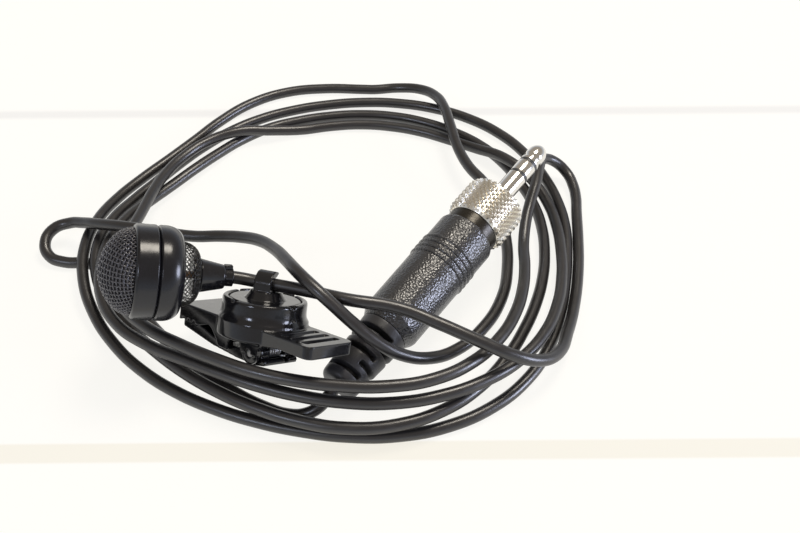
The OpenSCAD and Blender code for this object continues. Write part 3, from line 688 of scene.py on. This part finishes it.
# The coil's centre line, from its outer end to its inner end, in millimetres.
COIL = [
    (18.79, 73.11, 1), (10.79, 73.36, 1), (2.87, 72.08, 1), (-4.18, 68.25, 1), (-9.66, 62.47, 1), (-13.99, 56.32, 1),
    (-18.14, 50.6, 1), (-22.39, 44.88, 1.03), (-25.99, 38.47, 1.55), (-28.11, 31.3, 2.65), (-28.65, 23.75, 3.43),
    (-27.52, 16.22, 3.08), (-24.54, 9.23, 1.97), (-20.16, 3.1, 1.16), (-14.94, -2.13, 1), (-9.03, -6.39, 1),
    (-2.64, -9.69, 1), (4.07, -12.19, 1), (11.07, -13.99, 1), (18.42, -15.03, 1), (26.04, -14.89, 1),
    (33.6, -13.1, 1), (40.52, -9.45, 1.02), (46.22, -4.1, 1.04), (50.26, 2.51, 1.05), (52.81, 9.63, 1.04),
    (54.45, 16.73, 1.02), (55.52, 23.8, 1), (56, 30.96, 1), (55.33, 38.2, 1), (53.45, 45.34, 1), (50.36, 52.19, 1),
    (45.88, 58.33, 1), (40.03, 63.21, 1), (33.21, 66.55, 1), (25.93, 68.3, 1), (18.59, 68.61, 1), (11.47, 67.76, 1),
    (4.69, 65.97, 1), (-1.61, 63.16, 1), (-7.17, 59.23, 1), (-11.91, 54.49, 1), (-15.93, 49.27, 1.02),
    (-19.43, 43.69, 1.24), (-22.67, 37.77, 1.87), (-25.27, 31.24, 2.92), (-26.4, 24.14, 3.63), (-25.37, 17, 3.38),
    (-22.09, 10.58, 2.93), (-17.64, 5.09, 2.91), (-12.9, 0.15, 3.15), (-7.8, -4.33, 3.39), (-2.17, -8.26, 3.57),
    (4.04, -11.61, 3.69), (10.86, -14.19, 3.74), (18.26, -15.52, 3.72), (25.83, -14.86, 3.64), (32.84, -11.94, 3.48),
    (38.68, -7.15, 3.27), (43.11, -1.25, 3.02), (46.41, 5, 2.72), (48.91, 11.27, 2.41), (50.63, 17.59, 2.1),
    (51.54, 23.99, 1.8), (51.68, 30.42, 1.54), (50.83, 36.83, 1.28), (48.91, 43.06, 1.05), (46.15, 49.06, 1),
    (42.17, 54.39, 1), (37.05, 58.69, 1), (31.22, 61.91, 1), (24.9, 63.87, 1), (18.38, 64.5, 1), (11.96, 63.93, 1),
    (5.8, 62.41, 1), (0.02, 60.01, 1), (-4.98, 56.34, 1.01), (-8.93, 51.7, 1.37), (-12.51, 47.03, 1.69),
    (-16.15, 42.31, 1.68), (-19.63, 37.1, 2.2), (-22.39, 31.14, 3.63), (-24.05, 24.51, 4.73), (-24.35, 17.45, 5.15),
    (-22.97, 10.38, 5.19), (-19.42, 4.09, 5.39), (-13.95, -0.62, 5.85), (-7.81, -4.03, 6.26), (-1.77, -7.02, 6.54),
    (4.37, -9.7, 6.7), (10.91, -11.74, 6.73), (17.86, -12.93, 6.61), (25.11, -12.89, 6.37), (32.31, -11.24, 6.01),
    (39.03, -8.01, 5.54), (44.87, -3.32, 5), (49.32, 2.69, 4.41), (52.16, 9.51, 3.8), (53.68, 16.56, 3.21),
    (54.31, 23.54, 2.68), (54.28, 30.44, 2.07), (53.25, 37.27, 1.73), (50.4, 43.54, 2.48), (45.83, 48.62, 3),
    (40.85, 52.86, 1.78), (35.69, 56.5, 1.03), (30.08, 59.14, 1), (24.2, 60.75, 1), (18.23, 61.33, 1),
    (12.36, 60.78, 1), (6.7, 59.53, 1.07), (1.05, 58.13, 1.98), (-4.9, 56.51, 3.11), (-10.65, 53.7, 3),
    (-15.01, 49.03, 2.84), (-17.66, 43.22, 3.32), (-18.96, 37.09, 4.17), (-19.72, 31.04, 4.97), (-20.53, 24.95, 5.94),
    (-21.11, 18.46, 6.7), (-20.56, 11.67, 7.23), (-17.96, 5.31, 7.86), (-13.32, 0.25, 8.55), (-7.73, -3.62, 9.12),
    (-1.9, -6.87, 9.51), (4.23, -9.55, 9.71), (10.77, -11.32, 9.71), (17.62, -12.14, 9.51), (24.67, -11.89, 9.12),
    (31.52, -9.97, 8.54), (37.43, -5.99, 7.83), (41.86, -0.48, 7.01), (44.83, 5.7, 6.12), (46.57, 12.02, 5.2),
    (47.41, 18.16, 4.31), (47.73, 24.04, 3.57), (48.4, 28.8, 4.5),
]  # fmt: skip

# From the holder over the plug and round by its tip, to the coil's inner end.
TO_COIL = [
    (12.2, 1.8, 15.2), (18, -0.5, 15.8), (26, -1, 14.4), (32, -3, 13.2), (38.5, -5, 11.2), (43.5, -5.8, 9.0),
    (47.8, -4.6, 6.4), (51.3, -1, 4), (53.6, 5.2, 2.2), (55.6, 12.4, 1.2), (57.2, 21, 1), (58, 28.6, 1),
    (58.5, 35.4, 1), (58.8, 39.2, 1.1), (58.6, 42.3, 1.4), (57.6, 45.2, 2.1), (55.3, 46.4, 3.8), (52.9, 45.2, 5.4),
    (51.8, 42, 6.1), (50.9, 37.8, 6.1), (49.5, 33.2, 5.4),
]  # fmt: skip

# From the relief along the front, round the small loop and back over the clip, to the coil's outer end.
FROM_PLUG = [
    (14.0, -11.0, 3.2), (11.8, -11.7, 2.2), (9, -11.2, 1.4), (5.5, -9.6, 0.9), (-0.5, -6, 0.9), (-7.5, -0.5, 0.9),
    (-14, 6.5, 0.9), (-19.5, 13.5, 0.9), (-23.5, 18.6, 0.9), (-28, 22, 0.9), (-32.5, 22.4, 0.9), (-35.2, 23.5, 1.3),
    (-36.35, 26, 2.3), (-35.2, 28.5, 3.2), (-32.4, 29.3, 3.9), (-29.6, 28.2, 5), (-26.6, 26.4, 6.4),
    (-20.5, 23.7, 8.2), (-14, 21.8, 8.7), (-8.5, 20.4, 9.1), (-4, 19.5, 10), (-0.2, 17.8, 11.4), (3.3, 15.2, 13.1),
    (6.2, 11.4, 14.9), (8.6, 6.8, 16.9), (11, 2.4, 18.3), (13.6, -0.6, 18.1), (16.2, -2.5, 16.7), (19.2, -4.2, 14.5),
    (22.6, -5.5, 11.8), (26.5, -5.6, 8.9), (31, -4, 6.3), (35.2, -1, 4.8), (39.4, 3.8, 4.2), (43, 11, 3.6),
    (44.6, 19, 3.1), (44.8, 27, 3.1), (43.9, 34, 3.7), (41.8, 39.4, 4.3), (39, 44.2, 4.5), (37.2, 49.5, 4.6),
    (36, 56, 4.8), (34.9, 62.5, 4.5), (33.3, 67.6, 3.5), (30.2, 71.4, 2.3), (25.8, 73.2, 1.3),
]  # fmt: skip


def cable_route(radius):
    """The whole cable's centre line, from inside the boot to inside the relief, in metres."""
    coil, to_coil, from_plug = ([Vector(p) for p in table] for table in (COIL, TO_COIL, FROM_PLUG))
    outer = coil[0] + 2 * (coil[0] - coil[1]).normalized()
    middle = [*to_coil, *coil[::-1], outer, *from_plug[::-1]]
    lying = [Vector((p.x, p.y, max(p.z, radius / MM))) * MM for p in middle]

    def inside(place, stations):
        return [place @ Vector((x * MM, 0, 0)) for x in stations]

    return inside(HEAD, (-3, 0.3)) + inside(HOOK, (-1.5, 1.5)) + lying + inside(PLUG, (-2, 3))


# ---------------------------------------------------------------- operators


class MIC_OT_stage(Operator):
    """Make the floor, the lamps, the world and the camera"""

    bl_idname = "mic.stage"
    bl_label = "Stage"

    def execute(self, context):
        looks = context.scene.mic_stage
        scene = context.scene
        scene.view_settings.view_transform = "Standard"
        lens = bpy.data.cameras.new("camera")
        lens.lens, lens.sensor_width, lens.clip_start = looks.lens, SENSOR_WIDTH, NEAREST
        camera = new_object("camera", lens)
        camera.location = AIM + Vector((0, -CAMERA_RISE, CAMERA_RISE))
        camera.rotation_euler = (radians(45), 0, 0)
        scene.camera = camera
        self.floor(looks)
        self.world(scene)
        for lamps, watts in ((WARM_LAMPS, looks.warm_lamp), (COOL_LAMPS, looks.cool_lamp)):
            for name, aim, size, share, tint in lamps:
                self.lamp(name, aim, size, watts * share, tint)
        return {"FINISHED"}

    def lamp(self, name, aim, size, watts, tint):
        """A round lamp at an azimuth and a height, turned to the object."""
        light = bpy.data.lights.new(name, "AREA")
        light.shape, light.size, light.energy, light.color = "DISK", size, watts, tint
        made = new_object(name, light)
        azimuth, height = radians(aim[0]), radians(aim[1])
        way = Vector((cos(height) * cos(azimuth), cos(height) * sin(azimuth), sin(height)))
        made.location = LAMP_AIM + way * LAMP_AWAY
        made.rotation_euler = way.to_track_quat("Z", "Y").to_euler()

    def world(self, scene):
        """A room that is cool near the ground and warmer overhead, and plain white to the camera."""
        world = bpy.data.worlds.new("room")
        scene.world = world
        world.use_nodes = True
        tree = world.node_tree
        room = tree.nodes["Background"]
        way = add_node(tree, "ShaderNodeTexCoord").outputs["Generated"]
        up = parted(tree, way)[2]
        rise = {"Value": up, "From Min": 0.03, "From Max": 0.55}
        height = add_node(tree, "ShaderNodeMapRange", rise, interpolation_type="SMOOTHSTEP").outputs["Result"]
        horizon, zenith = (0.84, 0.90, 1.0, 1), (0.50, 0.45, 0.39, 1)
        feed(tree, room.inputs["Color"], blend(tree, height, horizon, zenith))
        room.inputs["Strength"].default_value = 0.72
        white = add_node(tree, "ShaderNodeBackground", {"Color": (1.0, 0.985, 0.945, 1)})
        seen = add_node(tree, "ShaderNodeLightPath").outputs["Is Camera Ray"]
        self.close(tree, "World Output", seen, room, white)

    def floor(self, looks):
        """A wide sheet of pale paper with two darker lines painted across it: the painted shade of a crease at the back
        and a warmer band at the front.
        """
        mesh = bpy.data.meshes.new("floor")
        corners = [(x * FLOOR_HALF, y * FLOOR_HALF, 0) for x, y in ((-1, -1), (1, -1), (1, 1), (-1, 1))]
        mesh.from_pydata(corners, [], [(0, 1, 2, 3)])
        floor = new_object("floor", mesh)
        paint = bpy.data.materials.new("paper")
        paint.use_nodes = True
        mesh.materials.append(paint)
        tree = paint.node_tree
        shader = tree.nodes["Principled BSDF"]
        spot = add_node(tree, "ShaderNodeTexCoord").outputs["Object"]
        x, y, _ = parted(tree, spot)
        tone = (*looks.floor, 1)
        # Paints the two darker floor lines into the paper's colour; the back one is painted shade of a crease.
        for slope, middle, half, soft, shade in PAINTED_FLOOR_LINES:
            tone = blend(tree, self.line(tree, y - x * slope, middle, half, soft), tone, shade)
        grain = add_node(tree, "ShaderNodeTexNoise", {"Scale": 900.0}).outputs["Fac"]
        bump = add_node(tree, "ShaderNodeBump", {"Strength": 0.05, "Distance": 0.0001, "Height": grain})
        inputs = {"Normal": bump.outputs[0], "Base Color": tone, "Roughness": 0.7, "Specular IOR Level": 0.1}
        for label, value in inputs.items():
            feed(tree, shader.inputs[label], value)
        glow = add_node(tree, "ShaderNodeEmission", {"Color": tone, "Strength": 1.03})
        path = add_node(tree, "ShaderNodeLightPath")
        rays = [Term(tree, path.outputs["Is %s Ray" % kind]) for kind in ("Camera", "Glossy", "Transmission")]
        seen = (rays[0] + rays[1] + rays[2]).worked("MINIMUM", 1.0) * 0.86
        self.close(tree, "Material Output", seen, shader, glow)

    def close(self, tree, output, factor, first, second):
        """Mixes two shaders by a factor and ends the tree."""
        inputs = {0: factor, 1: first.outputs[0], 2: second.outputs[0]}
        choose = add_node(tree, "ShaderNodeMixShader", inputs)
        tree.links.new(choose.outputs[0], tree.nodes[output].inputs["Surface"])

    def line(self, tree, where, middle, half, soft):
        """1 on a soft-edged line across the floor, 0 elsewhere."""
        off = (where - middle).worked("ABSOLUTE")
        span = {"From Min": half - soft / 2, "From Max": half + soft / 2, "To Min": 1.0, "To Max": 0.0}
        fade = add_node(tree, "ShaderNodeMapRange", {"Value": off, **span}, interpolation_type="SMOOTHSTEP")
        return fade.outputs["Result"]


class MIC_OT_cable(Operator):
    """Lay the cable from the boot through the holder and the coil to the plug"""

    bl_idname = "mic.cable"
    bl_label = "Cable"

    def execute(self, context):
        radius = context.scene.mic_cable.diameter / 2
        points = cable_route(radius)
        curve = bpy.data.curves.new("cable", "CURVE")
        curve.dimensions = "3D"
        curve.resolution_u = 6
        curve.bevel_depth = radius
        curve.bevel_resolution = 5
        curve.use_fill_caps = True
        spline = curve.splines.new("BEZIER")
        spline.bezier_points.add(len(points) - 1)
        for knot, point in zip(spline.bezier_points, points):
            knot.co = point
            knot.handle_left_type = knot.handle_right_type = "AUTO"
        cable = new_object("cable", curve)
        seat(cable, "mic", finishes()["jacket"], "cable_jacket", "cable_mic_run", "cable_coil", "cable_plug_run")
        return {"FINISHED"}


class MIC_OT_cord(Operator):
    bl_idname = "mic.cord"
    bl_label = "Cable facts"

    def execute(self, context):
        tuple(HEAD @ Vector((0, 0, 0)))
        return {"FINISHED"}


class MIC_OT_screens(Operator):
    """Weave the domed screen and the bell behind the housing"""

    bl_idname = "mic.screens"
    bl_label = "Screens"

    def execute(self, context):
        looks, paint = context.scene.mic_head, finishes()
        skirt = [(6.33, 0.0), (6.68, 0.0), (6.68, 1.25), (6.33, 1.25)]
        rim = turned_mesh("screen_rim", skirt, AT_ORIGIN, 0.05)
        values = {"Wires": looks.screen_wires, "Wire": looks.screen_wire, "Material": paint["screen_paint"]}
        base = HEAD @ Matrix.Translation((SCREEN_BASE * MM, 0, 0))
        screen = run_tree("dome_screen", rim, woven_screen_tree(), values, base)
        seat(screen, "mic", paint["screen_paint"], "screen", "head_mesh")
        flange = [(4.66, -1.33), (5.33, -1.33), (5.33, -1.03), (5.0, -1.03), (5.0, 0.1), (4.8, 0.1), (4.66, -0.9)]
        rim = turned_mesh("bell_rim", flange, AT_ORIGIN, 0.05)
        values = {"Wires": looks.bell_wires, "Wire": looks.bell_wire, "Material": paint["bell_wire"]}
        base = HEAD @ Matrix.Translation((SHELL_END * MM, 0, 0))
        bell = run_tree("bell_screen", rim, bell_screen_tree(), values, base)
        seat(bell, "mic", paint["bell_wire"], "screen", "rear_mesh")
        return {"FINISHED"}


class MIC_OT_housing(Operator):
    """Turn the two halves of the head's housing"""

    bl_idname = "mic.housing"
    bl_label = "Housing"

    def execute(self, context):
        gloss = finishes()["housing_gloss"]
        skin, groove = HEAD_R - HAIR, HEAD_R - SEAM_DEPTH
        front = [
            (skin, SEAM - 0.28), *arc((HEAD_R - 0.62, BAND_FRONT + 0.62), 0.6, 0, -90, 8),
            (REBATE_R, BAND_FRONT + HAIR), (REBATE_R, SCREEN_BASE + 1.32), (SHELL_IN, SCREEN_BASE + 1.32),
            (SHELL_IN, SEAM + 1), (6.7, SEAM + 1), (6.7, SEAM - HAIR), (groove, SEAM - HAIR),
        ]  # fmt: skip
        seat(turned("front_ring", front, HEAD, 0.10, 128), "mic", gloss, "gloss_black", "front_shell")
        inner, wide = BELL_R + 0.45, HEAD_R - BELL_R - 0.47
        turn = [radians(a) for a in range(0, 91, 6)]
        shoulder = [(inner + wide * cos(a), SHELL_END - 2.6 + 2.58 * sin(a)) for a in turn]
        rear = [
            (REBATE_R, SEAM + HAIR), (groove, SEAM + HAIR), (skin, SEAM + 0.3), *shoulder,
            (BELL_R + HAIR, SHELL_END - HAIR), (BELL_R + HAIR, SHELL_END - 1), (5.37, SHELL_END - 1),
            (5.37, SHELL_END - 1.6), (SHELL_IN, SEAM + 1.02), (REBATE_R, SEAM + 1.02),
        ]  # fmt: skip
        seat(turned("rear_cup", rear, HEAD, 0.10, 128), "mic", gloss, "gloss_black", "rear_shell")
        return {"FINISHED"}


class MIC_OT_inside(Operator):
    """Finish what is inside the head and the handle"""

    bl_idname = "mic.inside"
    bl_label = "Inside"

    def execute(self, context):
        paint = finishes()

        def dome(r, h):
            turn = [radians(a) for a in range(0, 90, 6)]
            return [(r * cos(a) ** 1.2, SCREEN_BASE - h * sin(a)) for a in turn] + [(0, SCREEN_BASE - h)]

        outer, inner = dome(FOAM_R, FOAM_RISE), dome(FOAM_R - FOAM_THICK, FOAM_RISE - FOAM_THICK)
        foam = turned("foam_lining", outer + inner[::-1], HEAD, 0, 64)
        seat(foam, "mic", paint["foam"], "foam", "foam_liner")
        better = {
            "capsule": "can_aluminium", "capsule_seat": "rubber", "capsule_board": "board_green",
            "lead_sleeve": "sleeve_brown", "cable_ferrule": "nickel", "plug_leads": "sleeve_brown",
        }  # fmt: skip
        for node, name in better.items():
            repaint(node, paint[name])
        return {"FINISHED"}


class MIC_OT_boot(Operator):
    """Mould the boot with its collar and tab"""

    bl_idname = "mic.boot"
    bl_label = "Boot"

    def execute(self, context):
        neck, behind = BELL_NECK - 0.06, BOOT_START - 0.62
        outline = [
            (0.6, BOOT_START - 1.1), (3.0, BOOT_START - 1.1), (3.0, behind), (neck, behind),
            (neck, BOOT_START + HAIR), (2.45, BOOT_START + HAIR), (2.6, BOOT_START + 0.2), (1.87, -1.5),
            (1.72, -1.3), (1.44, -1.3), (1.44, 0), (1.08, 0), (1.08, -2.96), (1.5, -2.98), (1.5, -4.52), (0.6, -4.52),
        ]  # fmt: skip
        cone = turned_mesh("boot_cone", outline, HEAD, 0.1)
        changed(cone, self.add_tab)
        cone.shade_smooth()
        boot = flats_kept(new_object("boot_cone", cone))
        seat(boot, "mic", finishes()["clip_gloss"], "gloss_black", "boot")
        return {"FINISHED"}

    def add_tab(self, bm):
        """A bevelled tab on top of the collar."""
        middle, size, edge = Vector((-0.75, 0, 1.6)), Vector((1.3, 1.2, 0.65)), 0.14
        place = HEAD @ Matrix.Translation(middle * MM) @ Matrix.Diagonal((*(size * MM), 1))
        tab = bmesh.ops.create_cube(bm, size=1.0, matrix=place)["verts"]
        edges = list(dict.fromkeys(e for v in tab for e in v.link_edges))
        bmesh.ops.bevel(bm, geom=edges, offset=edge * MM, segments=3, affect="EDGES", profile=0.5)


class MIC_OT_holder(Operator):
    """Mould the cable holder with its hook, foot and split post"""

    bl_idname = "mic.holder"
    bl_label = "Cable holder"

    def execute(self, context):
        holder = moulded("holder", "cable_holder", CLIP, HOLDER_CELL, 8)
        seat(holder, "mic", finishes()["clip_gloss"], "gloss_black", "cable_holder")
        return {"FINISHED"}


class MIC_OT_clip(Operator):
    """Mould the clip's body and its toothed jaw, and fit the pin and the spring"""

    bl_idname = "mic.clip"
    bl_label = "Clip"

    def execute(self, context):
        looks, paint = context.scene.mic_clip, finishes()
        body = moulded("clip_body", "upper_jaw", CLIP, looks.skin, 9)
        seat(body, "clip", paint["clip_gloss"], "gloss_black", "upper_jaw")
        jaw = moulded("clip_jaw", "lower_jaw", CLIP, looks.skin, 4)
        seat(jaw, "jaw", paint["clip_gloss"], "gloss_black", "lower_jaw")
        middle = Matrix.Translation(Vector((PIN_AT[0], 0, PIN_AT[1])) * MM)
        upright = CLIP @ middle @ Matrix.Rotation(QUARTER, 4, "X")
        along = upright @ Matrix.Rotation(-QUARTER, 4, "Y")
        rod = [(0, -PIN_HALF), (PIN_R, -PIN_HALF), (PIN_R, PIN_HALF), (0, PIN_HALF)]
        pin = turned("pin", rod, along, 0.1, 48)
        seat(pin, "clip", paint["spring_steel"], "spring_steel", "hinge_pin")
        legs = bpy.data.meshes.new("spring_legs")
        turn = upright @ Matrix.Translation((0, 0, -SPRING_LEN / 2 * MM)) @ Matrix.Rotation(QUARTER, 4, "Z")
        spring = run_tree("spring", legs, spring_tree(), {"Material": paint["spring_steel"]}, turn)
        changed(spring.data, self.add_legs)
        spring.data.shade_smooth()
        seat(spring, "clip", paint["spring_steel"], "spring_steel", "torsion_spring")
        return {"FINISHED"}

    def add_legs(self, bm):
        """Two straight legs, one from each end of the turns."""
        x, z = PIN_AT
        over, under = z + SPRING_R, z - SPRING_R
        ends = [((x, -1.1, over), (x + 2.0, -1.15, over + 0.72)), ((x, 1.1, under), (x + 1.9, 1.15, under + 0.5))]
        thick = {"radius1": SPRING_WIRE * MM, "radius2": SPRING_WIRE * MM}
        for first, last in ends:
            a, b = Vector(first), Vector(last)
            turn = (b - a).to_track_quat("Z", "Y").to_matrix().to_4x4()
            place = CLIP @ Matrix.Translation((a + b) / 2 * MM) @ turn
            leg = {"segments": 10, "depth": (b - a).length * MM, "matrix": place, **thick}
            bmesh.ops.create_cone(bm, cap_ends=True, **leg)


class MIC_OT_relief(Operator):
    """Mould the slotted rubber relief"""

    bl_idname = "mic.relief"
    bl_label = "Relief"

    def execute(self, context):
        relief = moulded("relief", "strain_relief", PLUG, RELIEF_CELL, 5)
        seat(relief, "mic", finishes()["rubber"], "rubber", "strain_relief")
        return {"FINISHED"}


class MIC_OT_handle(Operator):
    """Turn the grained handle and lay its ribs"""

    bl_idname = "mic.handle"
    bl_label = "Handle"

    def execute(self, context):
        looks, grain = context.scene.mic_plug, finishes()["handle_grain"]
        outline = [
            (3.02, RELIEF_LEN + 0.04), (4.1, RELIEF_LEN + 0.04), (4.15, RELIEF_LEN + 0.2), (4.85, RELIEF_LEN + 1.4),
            (5.0, RELIEF_LEN + 1.9), (5.06, 24.0), (5.13, HANDLE_END - 0.6), (4.95, HANDLE_END - 0.12),
            (4.72, HANDLE_END), (3.97, HANDLE_END), (3.97, RELIEF_LEN + 4.2), (3.62, RELIEF_LEN + 4.2),
            (3.62, RELIEF_LEN + 2.57), (3.02, RELIEF_LEN + 2.57),
        ]  # fmt: skip
        body = turned_mesh("handle_body", outline, AT_ORIGIN, 0.16, 128)
        values = {"Ribs": looks.ribs, "Pitch": looks.rib_pitch, "Material": grain}
        handle = flats_kept(run_tree("handle", body, rib_tree(), values, PLUG))
        seat(handle, "mic", grain, "grained_black", "barrel")
        return {"FINISHED"}


class MIC_OT_contacts(Operator):
    """Turn the plug's metal body, its contacts and the bands between them"""

    bl_idname = "mic.contacts"
    bl_label = "Contacts"

    def execute(self, context):
        paint = finishes()
        shank = [
            (1.42, 29), (3.9, 29), (3.9, 35.02), (4.64, 35.04), (4.64, 36.88), (2.6, 36.88), (2.6, 38.6), (3.3, 38.6),
            (3.3, 39.3), (2.05, 39.3), (1.75, 39.8), (1.75, SLEEVE_END), (1.42, SLEEVE_END),
        ]  # fmt: skip
        shank = seat(turned("plug_shank", shank, PLUG, 0.06), "mic", paint["nickel"], "nickel", "plug_body")
        # The neck between the handle and the ring takes the dark finish: partly a dark washer, partly painted shade and
        # a painted dark reflection of the handle.
        shank.data.materials.append(paint["neck_dark"])
        second_tone(shank, PLUG, HANDLE_END, RING_START)
        middle = SLEEVE_END + BAND
        ring = [(0.83, 27.6), (1.1, 27.6), (1.1, middle), (1.75, middle), (1.75, middle + 2.5), (0.83, middle + 2.5)]
        seat(turned("contact_ring", ring, PLUG, 0.06), "mic", paint["nickel"], "nickel", "jack_ring")
        tip = [
            (0, 26.4), (0.55, 26.4), (0.55, TIP_START), (1.75, TIP_START), (1.75, 54.45), (1.5, 54.8), (1.5, 55.05),
            (1.74, 55.45), (1.75, 56.5), (1.62, 57.1), (1.3, 57.75), (0.95, 58.15), (0, 58.2),
        ]  # fmt: skip
        seat(turned("contact_tip", tip, PLUG, 0.08), "mic", paint["nickel"], "nickel", "jack_tip")
        back = [(1.12, 28.2), (1.4, 28.2), (1.4, SLEEVE_END), (1.72, SLEEVE_END), (1.72, middle), (1.12, middle)]
        seat(turned("band_back", back, PLUG, 0.03), "mic", paint["insulator"], "insulator", "ring_insulator")
        front = [(0.57, 27.2), (0.81, 27.2), (0.81, 53.4), (1.72, 53.4), (1.72, TIP_START), (0.57, TIP_START)]
        seat(turned("band_front", front, PLUG, 0.03), "mic", paint["insulator"], "insulator", "tip_insulator")
        return {"FINISHED"}


class MIC_OT_collar(Operator):
    """Turn the locking ring and knurl it"""

    bl_idname = "mic.collar"
    bl_label = "Locking ring"

    def execute(self, context):
        looks, metal = context.scene.mic_plug, finishes()["nickel_worn"]
        end = RING_START + RING_LEN
        turns, pitch = 9, 0.5
        thread = []
        for i in range(turns):
            z = end - pitch - i * pitch
            thread += [(4.02, z), (4.2, z - pitch / 2)]
        outline = [
            (2.66, RING_START), (4.62, RING_START), (RING_R, RING_START + 0.5), (RING_R, end - 0.55), (4.5, end - HAIR),
            (4.2, end), *thread, (4.0, RING_START + 1.5), (2.66, RING_START + 1.5),
        ]  # fmt: skip
        body = turned_mesh("collar_body", outline, AT_ORIGIN, 0.05, 132)
        values = {"Knurls": looks.knurls, "Height": looks.knurl_depth, "Material": metal}
        collar = run_tree("locking_collar", body, knurl_tree(), values, PLUG)
        collar.data.shade_flat()
        seat(collar, "ring", metal, "nickel", "locking_ring")
        return {"FINISHED"}


class MIC_PT_panel(Panel):
    """Lists the pieces of the microphone and their sizes and colours"""

    bl_label = "Microphone"
    bl_idname = "MIC_PT_panel"
    bl_space_type = "VIEW_3D"
    bl_region_type = "UI"
    bl_category = "Microphone"

    def draw(self, context):
        for title, group, operators in PANEL_ROWS:
            box = self.layout.box()
            box.label(text=title)
            looks = getattr(context.scene, group)
            for name in looks.__annotations__:
                box.prop(looks, name)
            for operator in operators:
                box.operator(operator.bl_idname)


PANEL_ROWS = [
    ("Stage", "mic_stage", [MIC_OT_stage]),
    ("Cable", "mic_cable", [MIC_OT_cable, MIC_OT_cord]),
    ("Head", "mic_head", [MIC_OT_screens, MIC_OT_housing, MIC_OT_inside, MIC_OT_boot]),
    ("Clip", "mic_clip", [MIC_OT_holder, MIC_OT_clip]),
    ("Plug", "mic_plug", [MIC_OT_relief, MIC_OT_handle, MIC_OT_contacts, MIC_OT_collar]),
]

GROUPS = {
    "mic_stage": StageLooks,
    "mic_cable": CableLooks,
    "mic_head": HeadLooks,
    "mic_clip": ClipLooks,
    "mic_plug": PlugLooks,
}

OPERATORS = [
    MIC_OT_stage, MIC_OT_cable, MIC_OT_screens, MIC_OT_housing, MIC_OT_inside, MIC_OT_boot, MIC_OT_holder,
    MIC_OT_clip, MIC_OT_relief, MIC_OT_handle, MIC_OT_contacts, MIC_OT_collar, MIC_OT_cord,
]  # fmt: skip


CLASSES = [*GROUPS.values(), *OPERATORS, MIC_PT_panel]


def register():
    for item in CLASSES:
        bpy.utils.register_class(item)
    for name, group in GROUPS.items():
        setattr(bpy.types.Scene, name, PointerProperty(type=group))


def unregister():
    for name in GROUPS:
        delattr(bpy.types.Scene, name)
    for item in reversed(CLASSES):
        bpy.utils.unregister_class(item)


def main():
    """Builds the whole object."""
    register()
    for operator in OPERATORS:
        group, name = operator.bl_idname.split(".")
        getattr(getattr(bpy.ops, group), name)()


if __name__ == "__main__":
    main()
